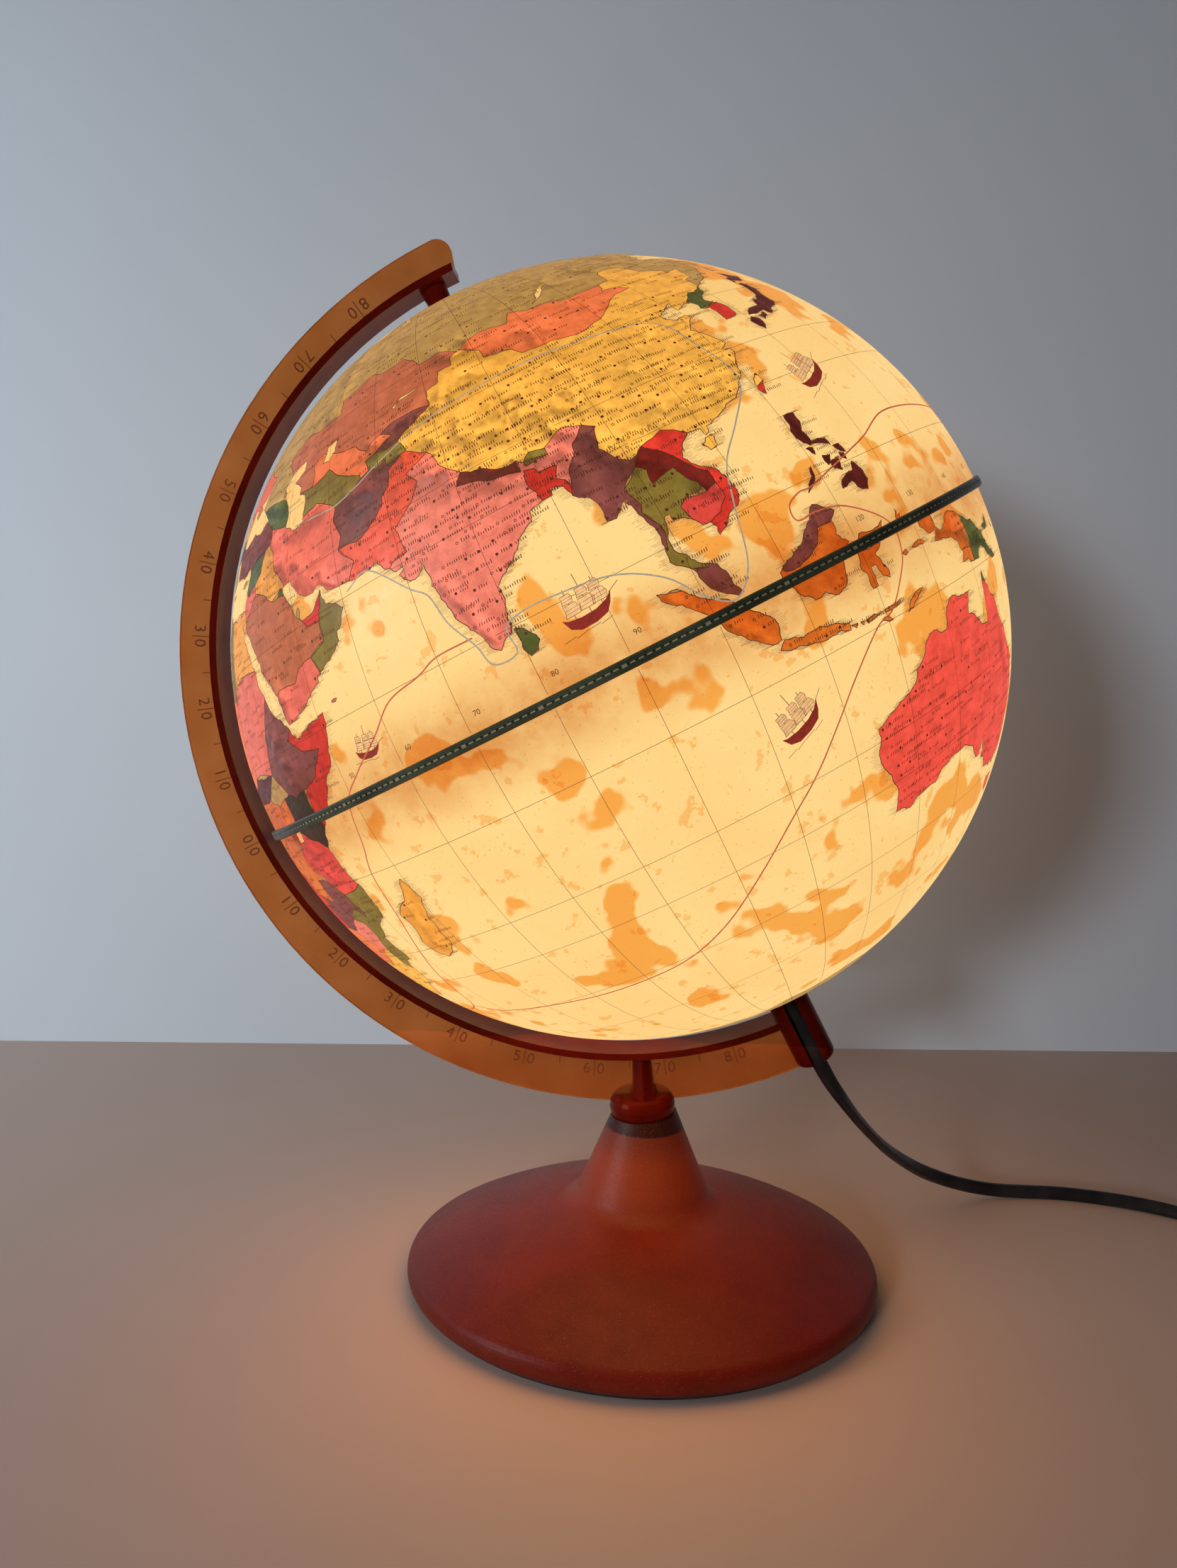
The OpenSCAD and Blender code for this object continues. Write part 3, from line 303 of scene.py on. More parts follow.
# areas: the tone, then the outline; where areas overlap, the first in the list wins
STATES = """
umber 80.1,28.8 81.2,30.3 84,29.2 86,28 88.1,27.9 88.1,26.4 84,27.4 / olive 88.9,27.3 90,28.2 92,27.8
92,26.8 89,26.7 / scarlet 88.1,24.5 88.5,26.4 89.8,26 89.9,25.3 92.3,25.1 91.5,23.6 92.4,22.9 92.6,20.9
91,20.5 89.1,21.3 88.7,23.2 / plum 92.3,20.8 92.7,22 93.4,24 94.7,25.2 95.2,26.7 97.4,28.4 98.7,27.5
97.6,24.5 99,22.2 100.1,21.4 101.1,21.6 100.1,20.3 97.8,18.5 98.6,16 98.2,15 99.2,13 99.4,11.6 98.8,10
96,9 92,15 91,19 / maroon 100.1,20.4 101.1,21.6 102.1,22.4 103.9,20.8 104.9,19.5 105.6,18.3 107.5,16
107.4,14.4 106,13.9 105.6,15.3 104.7,16.5 104,18.3 102.2,18 101,17.6 101.2,19.5 / crimson 102.9,11.5
102.4,13.6 103.5,14.4 106,13.9 107.4,14.4 107.6,12.4 106.2,11 104.5,10.4 103,9.8 / olive 97.8,18.5
100.1,20.4 101.2,19.5 101,17.6 102.2,18 104,18.3 104.7,16.5 105.6,15.3 105.5,14.4 103.5,14.4 102.4,13.6
102.9,11.5 101,9 101.5,6.8 101.8,5.8 100.1,6.5 98,6.5 97.5,8.5 98.8,10 99.4,11.6 99.2,13 98.2,15 98.6,16 /
scarlet 102.1,22.4 104,22.8 105.3,23.3 106.8,22.6 108.1,21.5 109,19 111,15 111,11 105,7.5 103.5,10
104.5,10.4 106.2,11 107.6,12.4 107.4,14.4 107.5,16 105.6,18.3 104.9,19.5 103.9,20.8 / plum 100.1,6.5
101.8,5.8 102.5,6.6 105,3 104.5,1.2 103,1.1 99.5,4.5 / plum 109.4,2.3 109.7,1.2 111.5,1 113,1.5 115,2.6
115.7,4.2 117.9,4.15 120,4.5 119,8 113,6 / amber 94,6.5 100,4.2 103.8,0.9 109.3,1.8 109.7,1.2 111.5,1
113,1.5 115,2.6 115.7,4.2 117.9,4.1 122,3 128,4 131,1 135,1 141,0 141,-11 130,-10 118,-12 104,-10 94,0 /
wine 116,7 118,5.5 122,5 128,5 128,20 119,20 118,13 / green 141,0 141,-12 162,-12 162,0 / salmon 87.8,49.1
90.8,46.9 90.9,45.3 95.3,44.3 96.4,42.8 101.5,42.5 105,41.6 110,42.6 111.8,43.7 113.6,44.8 116.5,46.3
119.9,46.7 118.5,47.9 115.5,48 116.7,49.8 113,49.6 108.5,49.4 106,50.4 102.3,50.6 98.9,52.1 97.3,49.8
94.2,50.6 92.3,50.8 / gold 73.7,39.5 74.9,37.2 77.8,35.5 79,32.5 81.2,30.3 84,29.2 86,28 88.1,27.9
88.9,27.3 90,28.2 92,27.8 95,29.2 97.4,28.4 98.7,27.5 97.6,24.5 99,22.2 100.1,21.4 101.1,21.6 102.1,22.4
104,22.8 105.3,23.3 106.8,22.6 108.1,21.5 109,17 112,17 122,24 124,31 123.5,38 124.3,40 126.9,41.7
128.2,41.5 130.6,42.5 131.1,44.8 133.1,45.1 134.8,48.4 131,47.7 130.9,48.9 127.5,50 125.6,53.1 120.9,53.3
120,52.6 119.3,50.2 116.7,49.8 115.5,48 118.5,47.9 119.9,46.7 116.5,46.3 113.6,44.8 111.8,43.7 110,42.6
105,41.6 101.5,42.5 96.4,42.8 95.3,44.3 90.9,45.3 90.8,46.9 87.8,49.1 85.7,48.4 85.5,47.1 83,47.2
82.4,45.3 80.2,45 80.2,42.1 78.2,41.2 75.7,40.4 / green 124.3,40 126.9,41.7 128.2,41.5 130.6,42.5 130,39
128.4,38.6 126.7,37.9 124.5,37.8 / scarlet 126.7,37.9 128.4,38.6 130.5,37 129.8,34.5 126,33 124.8,37.7 /
wine 128,30 142,30 147,42 146,46 141,46 138,41 130,36 128.5,33 / scarlet 119.5,21.5 122.5,21.5 122.5,25.7
120.5,25.5 / mauve 46.7,48.4 47.1,50.3 51.5,51.6 55,50.8 58.5,51 61.5,51 61,53.8 65.2,54.4 69,55.3
71.2,54.2 73.6,54 76.9,54.3 80,50.9 83.9,50.9 87.3,49.1 85.7,48.4 85.5,47.1 83,47.2 82.4,45.3 80.2,45
80.2,42.1 76,42.9 73.5,43 70.9,42.2 68.1,41 66,42.9 61.1,44.3 58.5,45.5 56,45 56,41.3 52.5,41.8 50,43
47,44 49,46 / salmon 56,45 58.5,45.5 61.1,44.3 66,42.9 68.1,41 70.9,42.2 73.1,40.8 70.5,40 67.7,39.6
68.2,37.9 66.5,37.4 66.5,38 62.5,40 60,42.2 57,41.3 56,41.3 / plum 70.9,42.2 73.5,43 76,42.9 80.2,42.1
78.2,41.2 75.7,40.4 73.7,39.5 71.8,39.3 69.5,39.7 70.5,40 73.1,40.8 / olive 67.7,39.6 70.5,40 69.5,39.7
71.8,39.3 73.7,39.5 74.9,37.2 71.6,36.6 71.4,37.9 69.5,37.2 68.2,37.9 / olive 52.5,41.8 56,41.3 57,41.3
60,42.2 62.5,40 66.5,38 66.5,37.4 64.5,36.3 61.2,35.6 60.3,36.6 57.3,38.2 53.9,37.3 52,38 / plum 61.2,35.6
64.5,36.3 66.5,37.4 68.2,37.9 69.5,37.2 71.4,37.9 71.6,36.6 74.9,37.2 71.5,36 71,34 69.5,33 69.3,31.9
66.4,30 64.1,29.4 60.9,29.8 61.7,31.4 60.6,33.9 / vermilion 60.9,29.8 64.1,29.4 66.4,30 69.3,31.9 69.5,33
71,34 71.5,36 74.9,37.2 77.8,35.5 74,34 75.3,32.3 74,30.5 70.4,28 71.1,24.5 68.8,24.2 68.2,23.7 66,23.5
61.6,24.5 61.7,25.1 63.2,27.2 / green 79,5.5 82.5,5.5 82.5,9 80.2,10.1 79.4,9.3 / rose 68.2,23.7 68.8,24.2
71.1,24.5 70.4,28 74,30.5 75.3,32.3 74,34 77.8,35.5 79,32.5 81.2,30.3 80.1,28.8 84,27.4 88.1,26.4
88.1,27.9 88.9,27.3 92,26.8 92,27.8 95,29.2 97.4,28.4 95.2,26.7 94.7,25.2 93.4,24 92.7,22 92.3,22.9
91.5,23.6 92.3,25.1 89.9,25.3 89.8,26 88.5,26.4 88.1,24.5 88.7,23.2 89.1,21.3 86,18 81,12 78,6.5 74,10
71,18 66.5,22 / pink 44.5,39.5 46.5,38.9 48.9,38.4 50,38 54,37.3 57.3,38.2 60.3,36.6 61.2,35.6 60.6,33.9
61.7,31.4 60.9,29.8 63.2,27.2 61.7,25.1 57,24.8 56.6,26.6 52,26.9 48.6,29.8 48,31 46,33 45.5,35.8
44.4,37.2 / green 46.6,29.1 47.3,30.1 48.6,29.8 48.8,28.6 / honey 38.8,33.4 41,34.5 42.4,37.1 44.4,37.2
45.5,35.8 46,33 48,31 48.6,29.8 47,29.8 44.7,29.2 42,31.1 39.2,32.2 / green 35.8,35.9 38,36.8 42.4,37.1
41,34.5 38.8,33.4 35.8,32.7 34.8,34 / pink 34.2,31.3 35.5,33.2 35.8,32.7 38.8,33.4 39.2,32.2 37,30.5
35,29.3 / umber 25.5,40 27,42 35,43 41.5,41.5 44.5,39.5 44.4,37.2 42.4,37.1 38,36.8 35.8,35.9 32,35.5
26,36 / green 39.5,43.6 47,43 50,41 48.9,38.4 46.5,38.9 44.5,39.5 41.5,41.5 / scarlet 51.6,24.2 52.6,22.9
55.1,22.6 56,24.9 56.4,26.4 54,25.5 / olive 55.1,22.6 56,24.9 56.4,26.6 60.5,23 59,19 53,15.8 52,19
55.2,20 / pink 42.7,16.4 43.5,17.4 47.5,17.1 49.1,18.6 52,19 53.1,16.6 54.6,12 45,12 43,12.5 / russet
35,29.3 37,30.5 39.2,32.2 42,31.1 44.7,29.2 46.6,29.1 48.8,28.6 50,26 50.8,24.8 51.6,24.2 52.6,22.9
55.1,22.6 55.2,20 52,19 49.1,18.6 47.5,17.1 43.5,17.4 42.7,16.4 40,18 37,23 34.3,28 / honey 25,32
34.3,31.3 35,28 37,22 25,22 / plum 36.4,14.3 38.5,18 43.2,12.5 42,11 44,9 48,8 45,5 42,4.2 38,3.6 36,4.5
33,8 34,10.5 / pink 22,20 24,20 24,22 37,22 38.5,18 36.4,14.3 34,10.5 33,8 27.5,9 24,8.7 22.5,11 22,13 /
scarlet 42,11 43.2,12.5 45,10.8 52,12.2 49,4 42,-1.7 41,0 41,3.2 42,4.2 45,5 48,8 44,9 / dark 34,4.2
36,4.5 38,3.6 41,4.2 41,0 42,-1.7 40,-4.7 37.6,-3 34,-1 34,1 / amber 29.8,0 31,3.5 34,4.2 34,-1 30,-1 /
crimson 30,-1 34,-1 37.6,-3 39.5,-4.7 41,-10.5 34.8,-11.5 33,-9.5 29.5,-6.5 29.3,-4.4 30.8,-3 / olive
34.8,-11.5 41,-10.5 42,-16 36,-24 33,-27 31.9,-25.5 31.3,-22.4 33,-19.5 33,-17 30.4,-15.8 33.2,-14
34.5,-14.5 35.5,-16 35.8,-15 / plum 24,-11 28.5,-12.5 28.5,-8.5 31,-8.5 33,-9.5 34.8,-11.5 35.8,-15
35.5,-16 34.5,-14.5 33.2,-14 30.4,-15.8 27,-17.9 23.5,-17.6 22,-13 24,-13 / rose 25.2,-17.8 27,-17.9
30.4,-15.8 33,-17 33,-19.5 31.3,-22.4 29.4,-22.2 / amber 12,-5.5 13,-4.6 16,-4 18,0 19,5 27.5,5 31,3.5
29.8,0 29.3,-4.4 29.5,-6.5 31,-8.5 28.5,-8.5 28.5,-12.5 24,-11 22,-11 21.5,-7 17,-8 16.5,-6 12,-6 /
scarlet 11,-6 16.5,-6 17,-8 21.5,-7 22,-11 24,-11 24,-13 22,-13 23.5,-17.6 11,-17.3 / gold 16,-28.6
20,-28.5 20,-25 22.5,-25.5 25.5,-25.6 29.4,-22.2 31.3,-22.4 31.9,-25.5 33,-27 33,-32 20,-36 17,-34 /
salmon 11,-17.3 23.5,-17.6 25.2,-17.8 29.4,-22.2 25.5,-25.6 20,-25 20,-28.5 16,-28.6 12,-22 / olive
9.5,30.5 11.5,33.5 25,33.5 25,20 24,20 15,23.5 10,25 / honey 43,-11 51,-11 51,-27 43,-27 / rose -9,27 9,38
12,38 9.5,30.5 10,25 12,23.5 3,19 -5,25 -9,27 / salmon 15,23.5 24,20 22,13 22.5,11 24,8.7 15,7 14,13 15,20
/ green 12,23.5 15,23.5 15,20 14,13 4,12 3,19 / gold -20,30 -9,27 -5,25 -5,15 -12,15 -20,15 / plum 3,12
14,13 15,7 9,4 3,4 / crimson -5,25 3,19 4,12 -12,12 -12,15 -5,15 / honey -20,15 -12,15 -12,12 3,12 3,4
-12,3 / wine 24,8.7 33,8 27.5,5 19,5 15,7 / olive 9,4 15,7 19,5 18,0 16,-4 12,-6 8,-3 / coral 111,-21
114,-9 155,-9 155,-45 111,-45 / crimson -10,36 -10,44 -1,43.5 3.5,42.3 3,36 / green -6,48 -1,51 2.5,51
8,49 7.5,44 3,42.5 -2,43.3 / scarlet 7.5,44 8,46 14,46.5 14,45 19,39 16,36 12,37 8,38 / salmon 4,51 7,54
8,55 14,54.5 15,51 13,48 8,47.5 / plum 14,54.5 19,55 24,54 24,49 15,50.5 / gold 22,52 28,56 28,60 21,60
20,55 / pink 22,48 24,51 34,52 40,49 38,46 30,45 / honey 13,48 24,49 29,45 28,43 20,42 14,45 / green 19,42
28,43 26,40 24,34 19,37 / scarlet 4,57 12,59.5 13,65 20,69 32,70 12,72 / gold 12,59.5 11,55 18,55 20,60
24,66 20,69 13,65 / plum 20,69 30,70 31,62 21,59.5 21,63 24,66 / honey -12,49 3,49 3,60 -12,60 / salmon
-170,72 -141,72 -141,60 -130,54 -170,52 / gold -125,49 -95,49 -83,42 -75,45 -67,47 -66,44 -80,24 -97,25.5
-106,31.5 -117,32.4 -126,40 / rose -141,72 -130,54 -124,49 -95,49 -83,42 -75,45 -67,47 -50,46 -60,62
-60,76 -80,84 -120,76 / green -117,32.4 -106,31.5 -97,25.5 -86,22 -88,17 -92,14 -106,18 / crimson -92,14
-88,17 -82,16 -76,9 -80,6 / olive -90,24 -60,24 -60,17 -80,17 / gold -80,13 -71,13 -67,1 -75,0 -80,2 /
scarlet -71,13 -60,11 -60,5 -67,1 / honey -82,1 -75,0 -70,-5 -70,-18 -76,-17 -83,-5 / plum -60,11 -50,6
-51,2 -60,3 / green -67,1 -60,5 -51,2 -30,-5 -48,-30 -54,-34 -58,-25 -60,-16 -66,-10 -74,-8 -70,-5 /
salmon -70,-10 -60,-16 -58,-20 -62,-22 -69,-20 / crimson -58,-20 -54,-26 -58,-28 -62,-22 / rose -70,-20
-62,-22 -58,-28 -53,-32 -56,-40 -66,-57 -69,-50 / amber -78,-17 -70,-18 -69,-50 -66,-57 -80,-55 / cream
-80,58 -80,85 -10,85 -40,58 / cream -180,-60 180,-60 180,-89 -180,-89"""


# ---------------------------------------------------------------- map making
# colours of the lit print, as a screen shows them; the sea takes the first
TONES = {
    "cream": (254, 214, 138), "gold": (249, 182, 76), "honey": (242, 160, 62), "amber": (224, 114, 38),
    "salmon": (243, 124, 74), "vermilion": (240, 90, 56), "scarlet": (214, 56, 42), "crimson": (224, 74, 62),
    "coral": (243, 84, 66), "rose": (242, 128, 104), "pink": (230, 108, 86), "mauve": (198, 108, 74),
    "russet": (188, 102, 62), "umber": (122, 50, 36), "maroon": (116, 34, 26), "plum": (132, 70, 62),
    "wine": (92, 32, 26), "olive": (134, 112, 46), "green": (86, 94, 42), "dark": (62, 50, 30),
    "khaki": (188, 148, 80)}
OTHER_LAND = "khaki"                # land that no area holds
FACING = 88.5                       # the meridian that faces the camera
STRETCH = 2.2                       # degrees, how far the print is drawn towards the equator
SKIN_R = 125.08                     # the print's sea level
RING_HALF = 0.62                    # degrees of the ball that the ring covers on each side of the equator
NORTH_HOLE, SOUTH_HOLE = 3.6, 7.9   # degrees left open round each pole for its bearing
COAST_SWING, LAKE_SWING, BORDER_SWING = 0.13, 0.1, 0.07     # how ragged each kind of line is
SHORTEST = 0.75                     # degrees, the shortest stretch that is still bent
GRID_STEP = 1.15                    # degrees between the skin's own points
HOLE_GAP, RIM_GAP = 0.8, 0.6        # degrees that those points keep from the hole and the rim
RIM_POINTS, HOLE_POINTS = 480, 48
LOW_LAND, TALL_GROUND = 0.06, 0.14  # height of flat land, and the height from which the points are closer
# shading of the relief: how strong, and its darkest and lightest
SHADE, DARKEST, LIGHTEST = 3.4, 0.62, 1.3
# mountain chains: width in degrees, height, then the crest
CHAINS = """
2.6 .9 74,35 80,31 88,28 95,29 / 2.2 .8 66,35 74,37 / 1.8 .7 70,41 80,42 88,43 / 2.2 .7 76,37 86,36 98,36
/ 2.5 .6 86,50 95,47 100,45 / 3.5 .6 84,33 98,32 / 2.2 .6 45,36 54,29 58,27 / 1.2 .6 50,36.5 58,37
/ .9 .35 74,19 77,10 / 1.2 .45 94,26 94,18 / 1.2 .4 102,20 108,13 / 2.5 .6 98,27 101,22 / 4 .3 108,26 118,27
/ 3 .35 108,34 112,38 / 1.6 .4 60,68 59,52 / 4 .4 110,56 130,56 140,60 160,66 / 1.2 .5 158,52 162,58
/ 1.5 .45 7,60 18,69 / 1.3 .7 6,45 15,47 / 1 .6 40,43.5 48,41.5 / 2.5 .5 30,38 43,39 / 1.1 .5 42,19 45,13
/ 2.2 .6 38,13 39,7 / 1.6 .4 30,0 36,-3 34,-12 / 1.6 .4 27,-32 31,-26 / 1.5 .5 -8,31 8,35
/ 3 .6 -120,50 -112,40 -106,33 / 2 .5 -150,63 -130,58 / 1.8 .8 -76,5 -79,-5 -70,-17 -70,-35 -73,-48
/ 1.5 .3 -83,35 -72,44 / 1.5 .35 146,-18 150,-30 148,-37 / .8 .4 96,5 104,-5 / 1.2 .6 133,-2 147,-7
/ 1.2 .4 112,1 116,5 / 1 .45 131,33 139,36 141,40 / 1 .5 168,-46 174,-41 / .8 .35 47,-16 46,-23
/ 1 .35 121,18 124,8 / 5 .3 -42,66 -40,78 / 6 .3 60,-75 120,-75"""


def places(text):
    return [tuple(float(v) for v in pair.split(",")) for pair in text.split()]


def linear(rgb):
    """Screen colours from 0 to 255, as light."""
    c = np.array(rgb, float) / 255
    return np.where(c < 0.04045, c / 12.92, ((c + 0.055) / 1.055) ** 2.4)


TO_CAMERA = np.array(CAMERA_AT) - CENTRE
EAST0 = unit(TO_CAMERA - TO_CAMERA.dot(NORTH) * NORTH)  # on the equator, towards the camera
EAST90 = np.cross(NORTH, EAST0)


def globe_dir(lon, lat):
    """Direction from the ball's centre; the print is stretched a little towards the equator."""
    lon, lat = np.radians(np.asarray(lon, float) - FACING), np.asarray(lat, float)
    lat = np.radians(lat - STRETCH * np.sin(np.radians(2 * lat)))
    return ((np.cos(lat) * np.cos(lon))[..., None] * EAST0 + (np.cos(lat) * np.sin(lon))[..., None] * EAST90
            + np.sin(lat)[..., None] * NORTH)


LATTICE = np.random.default_rng(7).random((32, 32, 32))


def noise3(p, scale):
    """Smooth value noise from 0 to 1 at points p."""
    p = np.asarray(p) * scale + 400                     # the 400 picks this part of the lattice
    i = np.floor(p).astype(int)
    f = p - i
    f = f * f * (3 - 2 * f)
    out = 0
    for dx in (0, 1):
        for dy in (0, 1):
            for dz in (0, 1):
                w = abs(1 - dx - f[..., 0]) * abs(1 - dy - f[..., 1]) * abs(1 - dz - f[..., 2])
                out = out + w * LATTICE[(i[..., 0] + dx) % 32, (i[..., 1] + dy) % 32, (i[..., 2] + dz) % 32]
    return out


def read_chains(text):
    """Each stretch of crest: its width in radians, its height and its two ends."""
    out = []
    for chain in text.split("/"):
        width, high, *crest = chain.split()
        p = globe_dir(*np.array(places(" ".join(crest))).T)
        for a, b in zip(p[:-1], p[1:]):
            out.append((math.radians(float(width)), float(high), a, b))
    return out


CRESTS = read_chains(CHAINS)


def height(d):
    """Height of the moulded relief at directions d, on land."""
    tall = np.full(d.shape[:-1], LOW_LAND)
    for width, high, a, b in CRESTS:
        ab = b - a
        t = np.clip(((d - a) @ ab) / ab.dot(ab), 0, 1)
        gap = np.linalg.norm(d - (a + t[..., None] * ab), axis=-1)
        tall = np.maximum(tall, high * np.exp(-(gap / width) ** 2))
    ridge = 1 - np.abs(2 * noise3(d, 21) - 1)
    fine = 1 - np.abs(2 * noise3(d, 47) - 1)
    return tall * (0.25 + 0.5 * ridge ** 2 + 0.35 * fine ** 2 * ridge)


def ragged(a, b, swing):
    """Points from a up to but not at b, pushed sideways like a real coast; the same both ways round."""
    (ax, ay), (bx, by) = a, b
    bx = ax + (bx - ax + 180) % 360 - 180
    flat = max(math.cos(math.radians((ay + by) / 2)), 0.05)
    if math.hypot((bx - ax) * flat, by - ay) < SHORTEST:
        return [a]
    low, top = sorted((a, (bx, by)))
    # a fixed push for each pair of ends, so that neighbours share their border
    seed = int(abs(low[0] * 7919 + low[1] * 104729 + top[0] * 1299709 + top[1] * 15485863) * 10) % 100003
    push = (((seed * 1103515245 + 12345) >> 8) % 1000 / 500 - 1) * swing
    mx = (ax + bx) / 2 + push * (top[1] - low[1]) / flat
    my = (ay + by) / 2 - push * (top[0] - low[0]) * flat
    mid = (round(mx, 4), round(my, 4))
    return ragged(a, mid, swing) + ragged(mid, (bx, by), swing)


def rough_outline(points, swing):
    out = []
    for a, b in zip(points, points[1:] + points[:1]):
        out += ragged(a, b, swing)
    return np.array(out)


def inside(p, outline):
    """Which of the points p lie in the closed outline."""
    low, top = outline.min(0), outline.max(0)
    near = np.flatnonzero(((p >= low) & (p <= top)).all(1))
    hit = np.zeros(len(p), bool)
    if len(near) == 0:
        return hit
    x, y = p[near].T
    odd = np.zeros(len(near), bool)
    for (x0, y0), (x1, y1) in zip(outline, np.roll(outline, -1, 0)):
        if y0 != y1:
            odd ^= ((y0 > y) != (y1 > y)) & (x < (x1 - x0) * (y - y0) / (y1 - y0) + x0)
    hit[near] = odd
    return hit


def read_outlines(text, swing):
    return [rough_outline(places(part), swing) for part in text.split("/")]


def read_tones(text, swing):
    """Pairs of a tone's name and the outline that it fills."""
    parts = [part.split() for part in text.split("/")]
    return [(tone, rough_outline(places(" ".join(points)), swing)) for tone, *points in parts]


LANDS = read_outlines(LAND, COAST_SWING)
WATERS = read_outlines(WATER, LAKE_SWING)
AREAS = read_tones(STATES, BORDER_SWING)


class Half:
    """One hemisphere of the print, worked out in a flat chart round its pole, in degrees."""

    def __init__(self, name, sign, hole):
        self.name, self.sign, self.hole = name, sign, hole
        self.rim = 90 - RING_HALF
        self.lands = self.chart_all(LANDS)
        self.waters = self.chart_all(WATERS)
        self.areas = [(tone, c) for tone, o in AREAS for c in self.chart_all([o])]

    def chart(self, points):
        p = np.asarray(points, float)
        r, a = 90 - self.sign * p[:, 1], np.radians(p[:, 0])
        return np.stack([r * np.cos(a), r * np.sin(a)], 1)

    def unchart(self, p):
        r = np.linalg.norm(p, axis=1)
        return np.degrees(np.arctan2(p[:, 1], p[:, 0])), self.sign * (90 - r)

    def chart_all(self, outlines):
        """Those of the outlines that reach this half, in its chart."""
        return [self.chart(o) for o in outlines if (self.sign * o[:, 1]).max() > -1]

    def is_land(self, p):
        land = np.zeros(len(p), bool)
        for o in self.lands:
            land |= inside(p, o)
        for o in self.waters:
            land &= ~inside(p, o)
        return land

    def tone_at(self, p, land):
        """The tone's number for each point: -1 on the sea."""
        names = list(TONES)
        tone = np.where(land, names.index(OTHER_LAND), -1)
        todo = land.copy()
        for name, o in self.areas:
            hit = todo & inside(p, o)
            tone[hit] = names.index(name)
            todo &= ~hit
        return tone

    def field(self):
        """A triangular field of points, closer where the ground is high."""
        grid = []
        for j in range(-90, 91):
            for i in range(-90, 91):
                q = ((i + 0.5 * (j % 2)) * GRID_STEP, j * GRID_STEP * 0.866)
                if self.hole + HOLE_GAP < math.hypot(*q) < self.rim - RIM_GAP:
                    grid.append(q)
        grid = np.array(grid)
        tall = self.is_land(grid) & (height(globe_dir(*self.unchart(grid))) > TALL_GROUND)
        reach = GRID_STEP * 0.5
        ways = (0, math.pi / 3, 2 * math.pi / 3)
        return np.vstack([grid] + [grid[tall] + (reach * math.cos(a), reach * math.sin(a)) for a in ways])

    def points_and_edges(self):
        """The field, the rim and the hole, and each coast and border as edges that the triangles follow."""
        verts, edges = [tuple(p) for p in self.field()], []
        for radius, count in ((self.rim, RIM_POINTS), (self.hole, HOLE_POINTS)):
            first = len(verts)
            for k in range(count):
                a = 2 * math.pi * k / count
                verts.append((radius * math.cos(a), radius * math.sin(a)))
                edges.append((first + k, first + (k + 1) % count))
        for o in self.lands + self.waters + [c for _, c in self.areas]:
            r = np.linalg.norm(o, axis=1)
            first = len(verts)
            verts.extend(map(tuple, o))
            for k in range(len(o)):
                m = (k + 1) % len(o)
                if min(r[k], r[m]) < self.rim + 0.4 and max(r[k], r[m]) > self.hole:
                    edges.append((first + k, first + m))
        return verts, edges

    def build(self):
        """Triangles over the chart between hole and rim, each all land or all sea, wrapped on the ball."""
        verts, edges = self.points_and_edges()
        pts, _, faces, _, _, _ = delaunay_2d_cdt([Vector(v) for v in verts], edges, [], 0, 1e-4)
        p = np.array([tuple(v) for v in pts])
        tri = np.array([f for f in faces if len(f) == 3])
        mid = p[tri].mean(1)
        r = np.linalg.norm(mid, axis=1)
        a, b = p[tri[:, 1]] - p[tri[:, 0]], p[tri[:, 2]] - p[tri[:, 0]]
        not_flat = np.abs(a[:, 0] * b[:, 1] - a[:, 1] * b[:, 0]) > 1e-7
        keep = (r < self.rim) & (r > self.hole) & not_flat
        tri, mid = tri[keep], mid[keep]
        land = self.is_land(mid)
        used, tri = np.unique(tri, return_inverse=True)
        tri = tri.reshape(-1, 3)[:, ::self.sign]        # the south's chart is seen from behind
        return self.skin(p[used], tri, land, self.tone_at(mid, land))

    def skin(self, p, tri, land, tone):
        """The mesh on the ball, with its colours; a corner of any sea face stays at sea level."""
        d = globe_dir(*self.unchart(p))
        on_land = np.ones(len(p), bool)
        on_land[tri[~land].ravel()] = False
        high = np.where(on_land, height(d), 0)
        ob = mesh_object(self.name, CENTRE + d * (SKIN_R + high)[:, None] * MM, tri)
        # shaded as if lit from the north-east: ground that rises that way is darker
        aside = 0.004 * (EAST90 + NORTH)
        near, far = height(unit(d + aside)), height(unit(d - aside))
        relief = np.where(on_land, np.clip(1 + SHADE * (far - near), DARKEST, LIGHTEST), 1.0)
        lit = linear(list(TONES.values()))
        colour = np.where(tone[:, None] < 0, lit[0], lit[tone])
        corner = np.empty((len(tri), 3, 4))
        corner[..., :3] = colour[:, None, :] * relief[tri][..., None]
        corner[..., 3] = land[:, None]
        attr = ob.data.color_attributes.new("print", "FLOAT_COLOR", "CORNER")
        attr.data.foreach_set("color", corner.ravel())
        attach(ob, "globe")
        return ob


